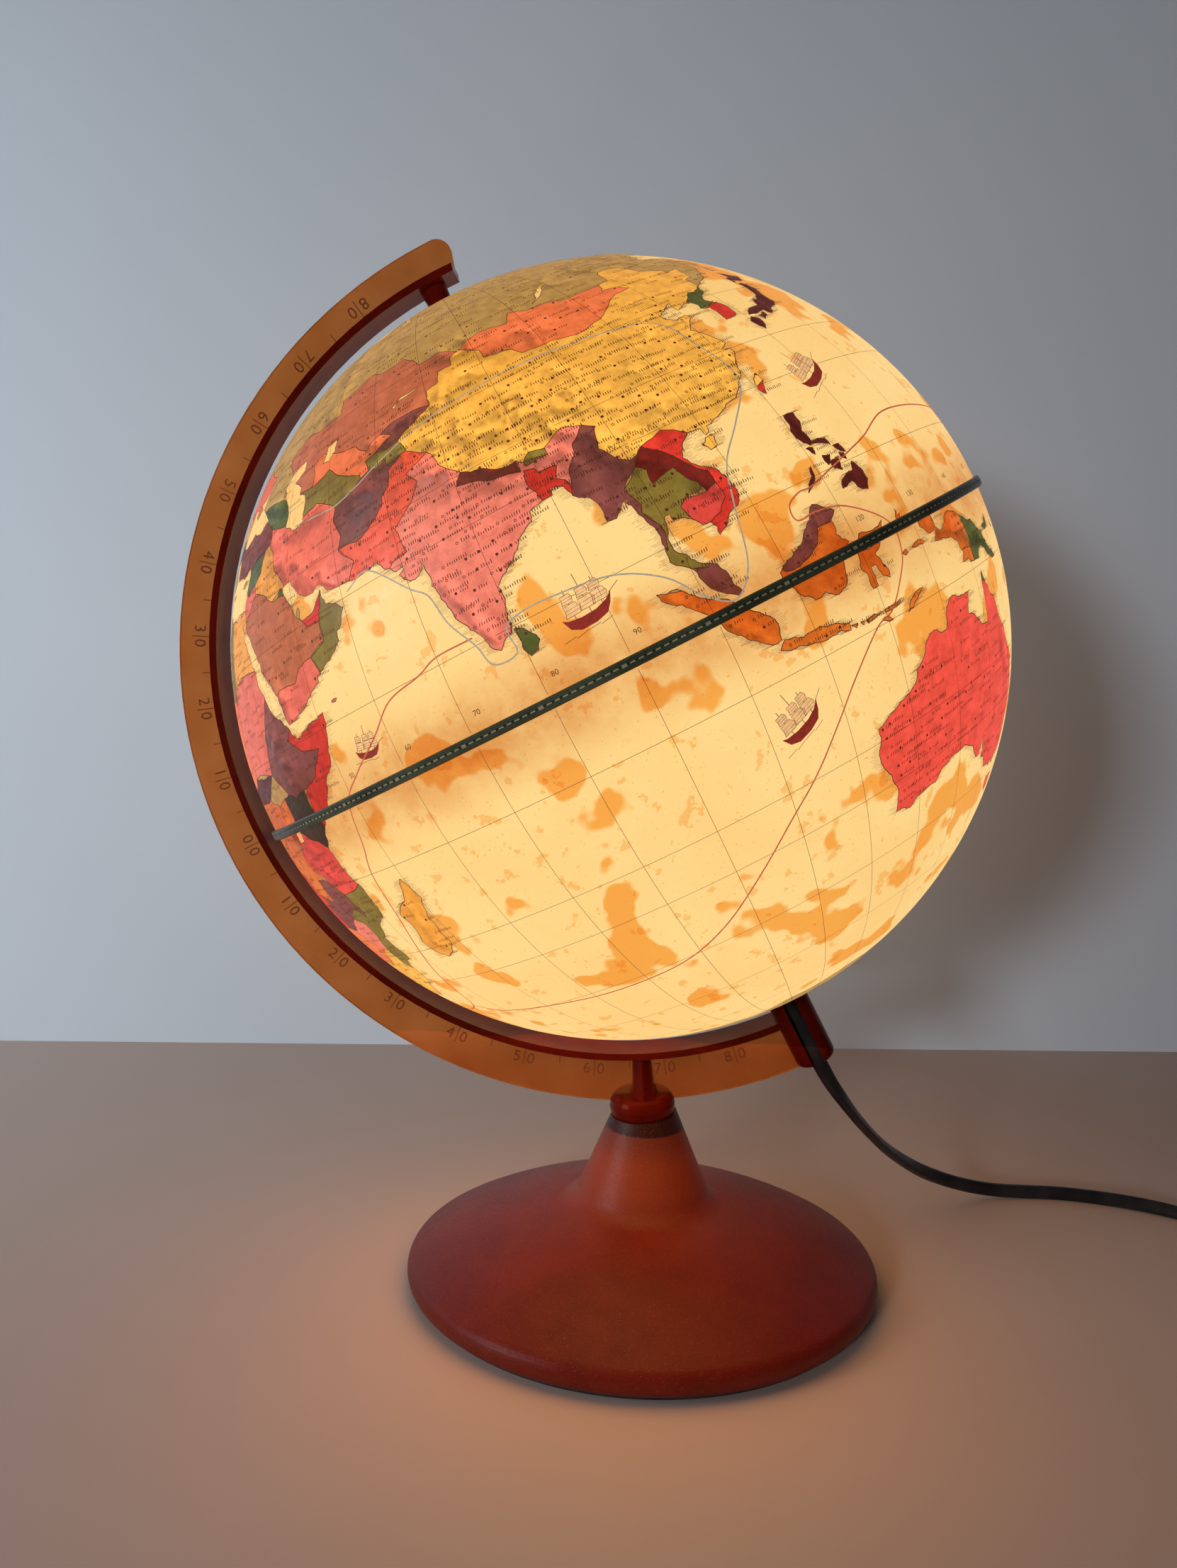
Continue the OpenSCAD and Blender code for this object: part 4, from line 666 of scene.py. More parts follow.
# ---------------------------------------------------------------- inks
# widths of the lines, and how high each kind lies above the print, so that they cross cleanly
COAST_W, BORDER_W, GRID_W, HACHURE_W, TOWN_W, ROUTE_W = 0.24, 0.2, 0.11, 0.09, 0.21, 0.42
COAST_UP, BORDER_UP, GRID_UP, FIGURE_UP, ROUTE_UP, TOWN_UP, SHIP_UP = 0.03, 0.06, 0.07, 0.08, 0.09, 0.1, 0.1
PARALLELS = (10, 23.5, 30, 40, 50, 60, 66.5, 70, 80)    # north and south
GRID_END = 84                       # degrees, where the meridians end
LEAST_COAST = 8                     # islets with fewer points have no strokes round them
ROUTES = (
    ("rust_route",
     "33,-37 39,-39 50,-40 62,-41 72,-41 79,-40 86,-37 93,-32 99,-27 104,-23 109,-18 113,-14 118,-10"
     " 121,-9 124,-6 126,-3 126,1 121,5 117,6 114,6 114,8 116,9 118,9 122,10 126,11 130,12 136,14 143,14"
     " 153,13 165,12 180,11 200,12 225,10 250,8 265,5 275,0 278,-12 284,-40 288,-54 295,-52 305,-38"
     " 318,-26 328,-8 336,12 345,28 350,36"),
    ("rust_route",
     "75,11 70,11 67,10 62,9 58,6 53,3 49,0 47,-6 45,-10 43,-18 38,-28 33,-37 20,-38 10,-30 2,-12"
     " -12,2 -20,12 -20,28 -10,37"),
    ("slate_route",
     "61,24 65,25 70,20 72,18 73,14 75,10 76,7 79,7 79,10 81,11 85,11 92,10 97,7 100,3 103,1 106,4"
     " 108,11 110,16 114,20 118,24 119,27 118,32 116,38 108,40 98,41 88,41 78,40 70,38 62,36 52,37"))
# longitude, latitude, size, and lean in degrees
SHIPS = ((88, 7, 6.6, 4), (104.5, -16.5, 6.4, 22), (56, 4.5, 4.4, -6), (130, 22, 6.4, 24), (-30, 20, 5, 0),
         (-150, 30, 5, 0), (-120, -25, 5, 0), (-20, -30, 5, 0), (165, -50, 5, 0))


def surface(lon, lat, lift, relief=True):
    """Points over the print, from the ball's centre."""
    d = globe_dir(lon, lat)
    h = height(d) if relief else 0 * d[..., 0]
    return d * (SKIN_R + lift + h)[..., None]


def tangent(centre):
    """East and north on the ball at a point of it."""
    up = unit(centre)
    east = unit(np.cross(NORTH, up))
    return east, np.cross(up, east)


class Ink:
    """Collects thin strips and spots, given from the ball's centre."""

    def __init__(self, name):
        self.name, self.verts, self.faces = name, [], []

    def add(self, verts, faces):
        n = len(self.verts)
        self.verts.extend(map(tuple, verts))
        self.faces.extend(tuple(n + i for i in f) for f in faces)

    def strip(self, line, width, closed=False):
        """A strip along the points, flat on the ball."""
        line = np.asarray(line, float)
        if closed:
            line = np.vstack([line, line[:1]])
        side = np.cross(np.gradient(line, axis=0), line)
        side /= np.maximum(np.linalg.norm(side, axis=1), 1e-9)[:, None]
        m = len(line)
        self.add(np.vstack([line - side * width / 2, line + side * width / 2]),
                 [(i, i + 1, m + i + 1, m + i) for i in range(m - 1)])

    def bar(self, start, end, across, width):
        """A straight bar between two points."""
        half = across * width / 2
        self.add([start - half, start + half, end + half, end - half], [(0, 1, 2, 3)])

    def spot(self, centre, radius, hole, sides):
        """A disc on the ball, or a ring if it has a hole."""
        up = unit(centre)
        e = unit(np.cross(up, NORTH))
        n = np.cross(e, up)
        a = 2 * np.pi * np.arange(sides) / sides
        way = np.cos(a)[:, None] * e + np.sin(a)[:, None] * n
        if hole:
            self.add(np.vstack([centre + radius * way, centre + hole * way]),
                     [(i, (i + 1) % sides, sides + (i + 1) % sides, sides + i) for i in range(sides)])
        else:
            self.add(centre + radius * way, [tuple(range(sides))])

    def text(self, words, at, right, up, size):
        """Figures in Blender's own plain font, flat in the plane of right and up."""
        curve = bpy.data.curves.new("figure", "FONT")
        curve.body, curve.size, curve.resolution_u = words, size, 3
        ob = bpy.data.objects.new("figure", curve)
        mesh = bpy.data.meshes.new_from_object(ob)
        v = np.array([tuple(q.co) for q in mesh.vertices])
        self.add(at + v[:, :1] * right + v[:, 1:2] * up, [tuple(f.vertices) for f in mesh.polygons])
        bpy.data.objects.remove(ob)
        bpy.data.curves.remove(curve)
        bpy.data.meshes.remove(mesh)

    def finish(self, finish, slot="printed_shell", body="globe"):
        ob = mesh_object(self.name, CENTRE + np.array(self.verts) * MM, self.faces, False)
        ob.data.materials.append(finish.mat)
        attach(ob, body)


def outline_ink(ink):
    """The coasts, and the borders where they cross land."""
    for o in LANDS + WATERS:
        ink.strip(surface(*o.T, COAST_UP, False), COAST_W, True)
    for half in HALVES:
        for _, o in half.areas:
            mids = (o + np.roll(o, -1, 0)) / 2
            r = np.linalg.norm(mids, axis=1)
            on = half.is_land(mids) & (r < half.rim) & (r > half.hole)
            p = surface(*half.unchart(o), BORDER_UP)
            for k in np.flatnonzero(on):
                ink.strip(p[[k, (k + 1) % len(o)]], BORDER_W)


def graticule(ink):
    """Meridians, which stop short of the poles and the ring, then parallels."""
    for lon in range(-180, 180, 10):
        for lat in (np.arange(-GRID_END, -0.8, 1.0), np.arange(1, GRID_END + 0.5, 1.0)):
            ink.strip(surface(np.full(len(lat), float(lon)), lat, GRID_UP), GRID_W)
    for lat in [-q for q in PARALLELS[::-1]] + list(PARALLELS):
        lon = np.arange(0, 361, 1.5)
        ink.strip(surface(lon, np.full(len(lon), float(lat)), GRID_UP), GRID_W)


def hachures(ink):
    """Short strokes that run out from each coast over the sea."""
    draw = random.Random(5)
    aside = (0.12, 0)                   # degrees east, to tell on which side the sea is
    for half in HALVES:
        starts = []
        for o in half.lands:
            if len(o) < LEAST_COAST:
                continue
            lon, lat = half.unchart(o)
            r = np.linalg.norm(o, axis=1)
            for k in range(len(o)):
                m = (k + 1) % len(o)
                if half.hole + 3 < r[k] < half.rim - 1.2 and abs(lon[k] - lon[m]) < 90:
                    for t in (0.0, 0.33, 0.66):
                        x, y = lon[k] + (lon[m] - lon[k]) * t, lat[k] + (lat[m] - lat[k]) * t
                        starts.append((x, y, draw.uniform(0.3, 1.5) / max(math.cos(math.radians(y)), 0.2)))
        starts = np.array(starts)
        east = ~half.is_land(half.chart(starts[:, :2] + aside))
        west = ~half.is_land(half.chart(starts[:, :2] - aside))
        far = surface(starts[:, 0] + np.where(east, 1, -1) * starts[:, 2], starts[:, 1], COAST_UP, False)
        near = surface(starts[:, 0], starts[:, 1], COAST_UP, False)
        for k in np.flatnonzero(east != west):
            ink.strip([near[k], far[k]], HACHURE_W)


def towns(ink):
    """Town marks, each with a row of plain strokes and no letters."""
    draw = random.Random(11)
    for half in HALVES:
        tries = []                      # longitude, latitude, and a draw that thins them out
        for _ in range(9000):
            lon, z = draw.uniform(-180, 180), draw.uniform(0.02, 0.97)
            tries.append((lon, half.sign * math.degrees(math.asin(z)), draw.random()))
        for _ in range(1500):           # more of them on the side that faces the camera
            tries.append((draw.uniform(68, 124), half.sign * draw.uniform(6, 42), 0.0))
        tries = np.array([t for t in tries if t[2] < 0.45 and t[1] > -62])
        spots = half.chart(tries[:, :2])
        kept = np.full((len(tries), 2), 999.0)
        for k in np.flatnonzero(half.is_land(spots)):
            if np.abs(kept[:k] - spots[k]).max(1).min(initial=9) < 1.25:
                continue                # too near a town that is already there
            kept[k] = spots[k]
            lon, lat = tries[k, :2]
            wide = max(math.cos(math.radians(lat)), 0.2)
            count = draw.randint(4, 9)
            x = lon + (0.6 + 0.3 * np.arange(count)) / wide
            tall = np.array([draw.uniform(0.26, 0.52) for _ in range(count)])
            foot = surface(np.append(lon, x), np.append(lat, np.full(count, lat - 0.15)), TOWN_UP)
            head = surface(x + 0.04, lat - 0.15 + tall, TOWN_UP)
            ink.spot(foot[0], 0.42, 0.24 if draw.random() < 0.6 else 0.0, 7)
            for low, top in zip(foot[1:], head):
                ink.strip([low, top], TOWN_W)


def figures(ink):
    """Degree figures just north of the equator, beside each meridian."""
    for lon in range(0, 360, 10):
        at = surface(np.array([lon + 1.3]), np.array([2.6]), FIGURE_UP)[0]
        ink.text(str(min(lon, 360 - lon)), at, *tangent(at), 2.0)


def ship(hulls, sails, lines, lon, lat, size, lean):
    """A small sailing ship of plain shapes: a hull, bellied sails, masts, rigging and waves."""
    c = surface(np.array([lon]), np.array([lat]), SHIP_UP, False)[0]
    east, north = tangent(c)
    turn = math.radians(lean)

    def at(x, y):
        x, y = x * math.cos(turn) - y * math.sin(turn), x * math.sin(turn) + y * math.cos(turn)
        return unit(c + size * (x * east + y * north)) * np.linalg.norm(c)

    deck = [(-1.0, 0.32), (-0.8, 0.2), (-0.3, 0.1), (0.3, 0.1), (0.75, 0.22), (1.05, 0.42)]
    keel = [(0.85, 0.05), (0.6, -0.22), (0.1, -0.32), (-0.5, -0.3), (-0.85, -0.1)]
    rim = [at(*q) for q in deck + keel]
    hulls.add(rim, [tuple(range(len(rim)))[::-1]])
    for mast, high in ((-0.5, 1.3), (0.1, 1.65), (0.6, 1.25)):
        lines.strip([at(mast, 0.1), at(mast + 0.04, high)], 0.16)
        for low, top, wide in ((0.3, 0.72, 0.3), (0.78, 1.1, 0.22)):
            if top >= high:
                continue
            middle = (low + top) / 2
            edge = [at(mast - wide, low), at(mast + wide * 0.9, low - 0.02), at(mast + wide * 1.15, middle),
                    at(mast + wide * 0.85, top), at(mast - wide * 0.8, top), at(mast - wide * 0.75, middle)]
            sails.add([q * 1.0002 for q in edge], [tuple(range(6))])
            lines.strip([q * 1.0004 for q in edge], 0.13, True)
            for k in (0.3, 0.6):
                y = low + k * (top - low)
                lines.strip([at(mast - wide * 0.78, y) * 1.0004, at(mast + wide, y) * 1.0004], 0.08)
    for k in range(4):
        lines.strip([at(-1.3 + 0.5 * k, -0.42 - 0.05 * (k % 2)), at(-0.8 + 0.5 * k, -0.4)], 0.12)
    lines.strip([at(0.95, 0.38), at(1.45, 0.6)], 0.14)


# ---------------------------------------------------------------- materials
PRINT_GLOW = 0.97                   # how strongly the lit print shines


class Finish:
    """A procedural material: a Principled shader with helpers that add its nodes."""

    def __init__(self, name, colour, **values):
        self.mat = bpy.data.materials.new(name)
        self.mat.use_nodes = True
        self.tree = self.mat.node_tree
        self.bsdf = self.tree.nodes["Principled BSDF"]
        self.out = self.tree.nodes["Material Output"]
        self.bsdf.inputs["Base Color"].default_value = (*colour, 1)
        for key, value in values.items():
            self.bsdf.inputs[key.replace("_", " ")].default_value = value
        self.at = self.add("ShaderNodeTexCoord").outputs["Object"]

    def add(self, kind, *links, **props):
        node = self.tree.nodes.new(kind)
        for key, value in props.items():
            setattr(node, key, value)
        for i, value in enumerate(links):
            self.feed(node.inputs[i], value)
        return node

    def feed(self, socket, value):
        """Links a node's output to the socket, or sets a plain value on it."""
        if isinstance(value, bpy.types.NodeSocket):
            self.tree.links.new(value, socket)
        elif socket.type == "RGBA" and len(value) == 3:
            socket.default_value = (*value, 1)
        else:
            socket.default_value = value

    def set(self, name, value):
        self.feed(self.bsdf.inputs[name], value)

    def noise(self, scale, detail, rough=0.55, at=None):
        node = self.add("ShaderNodeTexNoise")
        given = {"Scale": scale, "Detail": detail, "Roughness": rough, "Vector": at or self.at}
        for key, value in given.items():
            self.feed(node.inputs[key], value)
        return node.outputs["Fac"]

    def math(self, op, *values):
        return self.add("ShaderNodeMath", *values, operation=op).outputs[0]

    def vector_math(self, op, *values, output="Value"):
        return self.add("ShaderNodeVectorMath", *values, operation=op).outputs[output]

    def from_centre(self):
        """The place as seen from the ball's centre."""
        return self.vector_math("SUBTRACT", self.at, tuple(CENTRE), output="Vector")

    def span(self, value, low, high, out_low=0.0, out_high=1.0, smooth=True):
        node = self.add("ShaderNodeMapRange", value, low, high, out_low, out_high)
        node.interpolation_type = "SMOOTHSTEP" if smooth else "LINEAR"
        return node.outputs[0]

    def mix(self, fac, a, b, blend="MIX"):
        node = self.add("ShaderNodeMix", data_type="RGBA", blend_type=blend)
        for key, value in {"Factor": fac, "A": a, "B": b}.items():
            self.feed(node.inputs[key], value)
        return node.outputs["Result"]

    def stain(self, tone, mask, strength, colour):
        """The tone, multiplied by a colour where the mask is high: for stains and for painted shade."""
        return self.mix(self.math("MULTIPLY", mask, strength), tone, colour, "MULTIPLY")

    def mottle(self, scale, detail, dark, light, rough=0.55):
        """A colour that drifts between two."""
        return self.mix(self.span(self.noise(scale, detail, rough), 0.3, 0.7), dark, light)

    def gloss(self, scale, detail, low, high):
        """An uneven roughness between two values."""
        self.set("Roughness", self.span(self.noise(scale, detail), 0.3, 0.7, low, high, False))

    def bump(self, value, strength, distance):
        node = self.add("ShaderNodeBump")
        for key, given in {"Strength": strength, "Distance": distance, "Height": value}.items():
            self.feed(node.inputs[key], given)
        self.set("Normal", node.outputs[0])

    def glow(self, colour, strength):
        self.set("Emission Color", colour)
        self.set("Emission Strength", strength)

    def facing_up(self):
        normal = self.add("ShaderNodeNewGeometry").outputs["Normal"]
        return self.add("ShaderNodeSeparateXYZ", normal).outputs[2]


def moulded(name, colour, rough, grain, depth, spread, dust=0.0, **values):
    """Moulded plastic, rubber or porcelain: mottled colour, uneven gloss, fine grain, dust on top."""
    f = Finish(name, colour, **values)
    dark = tuple(c * (1 - spread) for c in colour)
    light = tuple(min(c * (1 + spread) + 0.02 * spread, 1) for c in colour)
    tone = f.mottle(60, 5, dark, light)
    if dust:
        speck = f.math("MULTIPLY", f.span(f.noise(2600, 2), 0.6, 0.68), f.span(f.facing_up(), 0.0, 1.0))
        tone = f.mix(f.math("MULTIPLY", speck, dust), tone, (0.62, 0.56, 0.5))
    f.set("Base Color", tone)
    f.set("Roughness", f.span(f.noise(170, 4), 0.2, 0.8, rough * 0.8, rough * 1.2, False))
    f.bump(f.noise(grain, 3), depth, 0.0004)
    return f


def metal(name, colour, rough=0.28):
    """Turned or pressed metal: fine streaks and faint tarnish."""
    f = Finish(name, colour, Metallic=1.0)
    stretched = f.add("ShaderNodeMapping", f.at)
    stretched.inputs["Scale"].default_value = (0.15, 0.15, 1.0)
    streak = f.noise(1500, 3, 0.6, stretched.outputs[0])
    tarnish = f.span(f.noise(240, 5), 0.45, 0.75)
    f.set("Base Color", f.mix(tarnish, colour, tuple(c * 0.62 for c in colour)))
    f.set("Roughness", f.span(streak, 0.3, 0.7, rough * 0.7, rough * 1.4, False))
    f.bump(streak, 0.12, 0.0002)
    return f


def printed_paper():
    """The lit print: mesh tones, stained and speckled like old paper, painted shade by the ring, lit from
    inside.
    """
    f = Finish("printed_map", (0.5, 0.4, 0.25), Roughness=0.42)
    skin = f.add("ShaderNodeVertexColor", layer_name="print")
    tone, land = skin.outputs["Color"], skin.outputs["Alpha"]
    sea = f.math("SUBTRACT", 1.0, land)
    rise = f.vector_math("DOT_PRODUCT", f.from_centre(), tuple(NORTH))
    # stains on the sea: large flat patches with crisp edges, small ones, then a soft wash
    patch = f.span(f.noise(52, 2.5, 0.5), 0.563, 0.602)
    small = f.span(f.noise(170, 3, 0.6), 0.62, 0.65)
    wash = f.span(f.noise(30, 4), 0.35, 0.7)
    for mask, strength, colour in ((patch, 0.95, (0.93, 0.56, 0.22)), (small, 0.6, (0.92, 0.62, 0.32)),
                                   (wash, 0.5, (0.97, 0.86, 0.74))):
        tone = f.stain(tone, f.math("MULTIPLY", mask, sea), strength, colour)
    # painted shade: a brown, uneven band along the equator's seam, where the ring shades the print
    near = f.span(f.math("ABSOLUTE", rise), 0.0205, 0.001)
    ring_shade = f.math("MULTIPLY", near, f.span(f.noise(75, 5, 0.65), 0.25, 0.75, 0.35, 1.0))
    tone = f.stain(tone, ring_shade, 0.95, (0.70, 0.40, 0.22))
    # mottled ground, then dark specks
    tone = f.stain(tone, land, 0.75, f.mottle(260, 6, (0.72, 0.66, 0.62), (1.14, 1.16, 1.18), 0.7))
    tone = f.stain(tone, f.span(f.noise(1500, 2), 0.66, 0.72), 0.45, (0.55, 0.38, 0.26))
    # the lamp sits low in the ball, so the far north is dimmer and warmer
    tone = f.mix(f.span(rise, 0.03, 0.122), tone, (0.90, 0.78, 0.55), "MULTIPLY")
    f.set("Base Color", f.mix(0.88, tone, (0.0, 0.0, 0.0)))
    f.glow(tone, PRINT_GLOW)
    f.gloss(400, 3, 0.34, 0.52)
    f.bump(f.noise(1900, 2), 0.05, 0.0002)
    return f


def ink_finish(name, colour, shine):
    """Printed ink on the lit ball: it lets a little of the lamp through."""
    f = Finish(name, tuple(c * 0.5 for c in colour), Roughness=0.5)
    f.glow(f.mottle(700, 3, tuple(c * 0.7 for c in colour), colour), shine)
    return f


def smoky_arm():
    """Red-brown see-through plastic: the thin flange lets the wall through, the thick rail is almost dark."""
    f = Finish("smoky_red_arm", (0.12, 0.014, 0.007), IOR=1.49, Specular_IOR_Level=0.16,
               Specular_Tint=(1.0, 0.38, 0.24, 1))
    off = f.from_centre()
    past_rail = f.span(f.vector_math("LENGTH", off), 0.1376, 0.1382)
    aside = f.math("ABSOLUTE", f.vector_math("DOT_PRODUCT", off, tuple(SIDE)))
    flange = f.math("MULTIPLY", past_rail, f.span(aside, 0.00145, 0.00125))
    rail_tone = f.mottle(55, 5, (0.06, 0.003, 0.001), (0.10, 0.005, 0.002), 0.6)
    flange_tone = f.mottle(55, 5, (0.71, 0.20, 0.04), (0.83, 0.26, 0.065), 0.6)
    f.set("Base Color", f.mix(flange, rail_tone, flange_tone))
    f.set("Transmission Weight", f.span(flange, 0.0, 1.0, 0.12, 0.86, False))
    f.gloss(140, 4, 0.14, 0.26)
    f.bump(f.noise(800, 3), 0.04, 0.0002)
    return f


def frosted_base():
    """The base's frosted red-brown plastic: painted light up to its neck, painted shade at the neck's top."""
    f = Finish("smoky_red_base", (0.2, 0.03, 0.012), IOR=1.49, Specular_IOR_Level=0.3)
    tone = f.mottle(38, 5, (0.105, 0.005, 0.0015), (0.145, 0.009, 0.003), 0.6)
    up = f.add("ShaderNodeSeparateXYZ", f.at).outputs[2]
    # painted light: brighter up the dome towards the neck, nearer the glowing ball, a little less on the neck
    tone = f.mix(f.span(up, 0.022, 0.038), tone, (0.20, 0.028, 0.008))
    tone = f.mix(f.span(up, 0.044, 0.054), tone, (0.12, 0.019, 0.008))
    # painted shade: dark at the neck's top, where the arm's plug sits inside
    tone = f.mix(f.math("MULTIPLY", f.span(up, 0.0543, 0.055), 0.92), tone, (0.018, 0.003, 0.003))
    speck = f.span(f.noise(3200, 2), 0.62, 0.7)
    f.set("Base Color", f.mix(f.math("MULTIPLY", speck, 0.25), tone, (0.5, 0.2, 0.1)))
    f.gloss(1200, 3, 0.36, 0.5)
    f.bump(f.noise(2400, 3), 0.18, 0.0003)
    return f


def cord_finish():
    """Black PVC, a little worn."""
    f = Finish("black_cord", (0.012, 0.012, 0.014), Specular_IOR_Level=0.3)
    f.set("Base Color", f.mottle(90, 5, (0.008, 0.008, 0.01), (0.022, 0.02, 0.02)))
    f.gloss(400, 4, 0.3, 0.46)
    f.bump(f.noise(1400, 3), 0.12, 0.0003)
    return f


def paint_nodes():
    """Gives each CAD solid its material."""
    glass = Finish("lamp_glass_frost", (0.95, 0.9, 0.82), Roughness=0.3)
    glass.glow(glass.mottle(80, 4, (1.0, 0.72, 0.4), (1.0, 0.85, 0.6)), 3.0)
    wire = Finish("hot_wire", (0.3, 0.2, 0.1))
    wire.glow(wire.mix(wire.noise(900, 2), (1.0, 0.55, 0.2), (1.0, 0.8, 0.45)), 8.0)
    shell = moulded("shell_inside", (0.72, 0.55, 0.32), 0.4, 700, 0.1, 0.12)
    shell.glow(shell.mottle(60, 4, (0.85, 0.55, 0.22), (0.95, 0.66, 0.3)), 0.6)
    cap = moulded("cap_clear", (0.75, 0.62, 0.42), 0.25, 900, 0.1, 0.1)
    cap.glow((0.9, 0.62, 0.28), 0.5)
    given = (
        (frosted_base(), "base_shell"),
        (smoky_arm(), "meridian_arm"),
        (shell, "north_hemisphere south_hemisphere"),
        (cap, "north_bush south_cap"),
        (glass, "bulb_glass"),
        (wire, "bulb_filament"),
        (moulded("ring_trim", (0.035, 0.038, 0.018), 0.3, 1200, 0.2, 0.35, dust=0.25), "equator_ring"),
        (moulded("white_moulding", (0.78, 0.76, 0.7), 0.35, 900, 0.12, 0.08), "pivot_pin cord_grip"),
        (moulded("porcelain", (0.82, 0.8, 0.74), 0.18, 300, 0.06, 0.06, Coat_Weight=0.4),
         "lamp_holder holder_insert"),
        (moulded("foot_rubber", (0.02, 0.02, 0.02), 0.7, 1800, 0.4, 0.3, dust=0.3), "foot_ring"),
        (moulded("black_moulding", (0.018, 0.018, 0.02), 0.38, 1500, 0.25, 0.3, dust=0.2),
         "switch_base switch_cover plug_body mains_cord cord_lead cord_coil cord_tail"),
        (moulded("rocker_red", (0.55, 0.03, 0.02), 0.25, 900, 0.08, 0.12, Transmission_Weight=0.15),
         "switch_rocker"),
        (moulded("core_blue", (0.04, 0.12, 0.42), 0.4, 1200, 0.15, 0.2), "supply_cores"),
        (moulded("tie_grey", (0.2, 0.2, 0.2), 0.5, 1400, 0.25, 0.2), "cord_tie"),
        (metal("brass", (0.78, 0.56, 0.26)), "holder_thread centre_contact terminal_screws switch_contacts"),
        (metal("zinc_plate", (0.6, 0.61, 0.63), 0.34), "arm_screw arm_washer rocker_pin switch_screws"),
        (metal("nickel", (0.74, 0.72, 0.68), 0.2), "bulb_cap plug_pins"))
    for finish, names in given:
        for name in names.split():
            NODES[name].data.materials.clear()
            NODES[name].data.materials.append(finish.mat)


# ---------------------------------------------------------------- marks on the arm and the ring
TICK_R, LONG_TICK, SHORT_TICK, TICK_W = 139.0, 6.6, 3.4, 0.3    # the ticks: inner end, lengths and width
FIGURE_R, FIGURE_SIZE = 144.7, 5.6                              # the figures: outer end and size
TENS_AT, UNITS_AT = 4.0, -0.9       # where each digit starts beside its tick, towards the north
MARK_OUT = 1.14                     # from the arm's plane, just proud of the flange
DASH_R, DASH_TURN = 126.66, 0.62    # the ring's dashes: radius, and length in degrees


def arc_point(angle, radius):
    """A mark's place on the flange: its angle is counted in degrees from the south pole to the north."""
    a = math.radians(angle)
    return -radius * math.cos(a) * NORTH - radius * math.sin(a) * ACROSS - MARK_OUT * SIDE


def arc_marks():
    """Degree ticks and figures on the flange's camera side."""
    ink = Ink("arc_figures")
    for angle in (0, *range(10, 171, 5)):
        a = math.radians(angle)
        outwards = -math.cos(a) * NORTH - math.sin(a) * ACROSS
        along = math.sin(a) * NORTH - math.cos(a) * ACROSS
        tick = SHORT_TICK if angle % 10 else LONG_TICK
        ink.bar(arc_point(angle, TICK_R), arc_point(angle, TICK_R + tick), along, TICK_W)
        if angle % 10 == 0:
            for digit, start in zip(f"{abs(90 - angle):02d}", (TENS_AT, UNITS_AT)):
                at = arc_point(angle, FIGURE_R) + along * start
                ink.text(digit, at, -along, -outwards, FIGURE_SIZE)
    ink.finish(moulded("arc_mark", (0.17, 0.036, 0.010), 0.3, 1200, 0.1, 0.2), "smoky_red", "stand")


def ring_marks():
    """A pale broken line round the equator strip, wider at every tenth degree."""
    ink = Ink("ring_scale")
    for k in range(360):
        a = np.radians(np.linspace(k, k + DASH_TURN, 3))
        line = DASH_R * (np.cos(a)[:, None] * EAST0 + np.sin(a)[:, None] * EAST90)
        ink.strip(line, 0.42 if k % 10 else 0.8)
    ink.finish(moulded("pale_mark", (0.24, 0.22, 0.13), 0.4, 1200, 0.1, 0.15), "green_trim")


# ---------------------------------------------------------------- the whole
HALVES = [Half("north_print", 1, NORTH_HOLE), Half("south_print", -1, SOUTH_HOLE)]


def print_map():
    paper = printed_paper()
    for half in HALVES:
        half.build().data.materials.append(paper.mat)
    dark_ink = ink_finish("dark_ink", (0.12, 0.035, 0.015), 0.6)
    thin_ink = ink_finish("thin_ink", (0.50, 0.26, 0.10), 0.7)
    for name, finish, *draws in (("map_lines", dark_ink, outline_ink, graticule),
                                 ("coast_strokes", thin_ink, hachures),
                                 ("town_marks", dark_ink, towns, figures)):
        sheet = Ink(name)
        for draw_on in draws:
            draw_on(sheet)
        sheet.finish(finish)


def draw_routes():
    for name, colour in (("rust_route", (0.62, 0.13, 0.06)), ("slate_route", (0.42, 0.36, 0.26))):
        sheet = Ink(name)
        for route, text in ROUTES:
            if route == name:
                lon, lat = catmull(places(text), 6).T
                sheet.strip(surface(lon, lat, ROUTE_UP), ROUTE_W)
        sheet.finish(ink_finish(name + "_ink", colour, 0.75))


def draw_ships():
    hulls, sails, rigging = Ink("ship_hulls"), Ink("ship_sails"), Ink("ship_rigging")
    for row in SHIPS:
        ship(hulls, sails, rigging, *row)
    hulls.finish(ink_finish("ship_brown", (0.30, 0.03, 0.02), 0.7))
    sails.finish(ink_finish("ship_sail", (0.92, 0.52, 0.22), 0.85))
    rigging.finish(ink_finish("ship_line", (0.16, 0.03, 0.02), 0.6))


print_map()
draw_routes()
draw_ships()
paint_nodes()
cord.data.materials.append(cord_finish().mat)
arc_marks()
ring_marks()


# ---------------------------------------------------------------- room, in metres
WALL_A, WALL_B = np.array((-0.37, 0.247)), np.array((0.3206, 0.3172))     # two places along the wall's foot
WALL_REACH, FLOOR_REACH, WALL_HIGH = 4, 6, 3


def stage_material(name, colour, rough, scale, two_sided=True):
    """A plain, faintly uneven surface; a one-sided one can't be seen from behind."""
    f = Finish(name, colour, Roughness=rough)
    dark, light = (tuple(c * k for c in colour) for k in (0.985, 1.015))
    f.set("Base Color", f.mottle(scale, 4, dark, light))
    f.bump(f.noise(1500, 3), 0.03, 0.0002)
    if not two_sided:
        behind = f.add("ShaderNodeNewGeometry").outputs["Backfacing"]
        gone = f.add("ShaderNodeBsdfTransparent").outputs[0]
        mix = f.add("ShaderNodeMixShader", behind, f.bsdf.outputs[0], gone)
        f.feed(f.out.inputs["Surface"], mix.outputs[0])
    return f


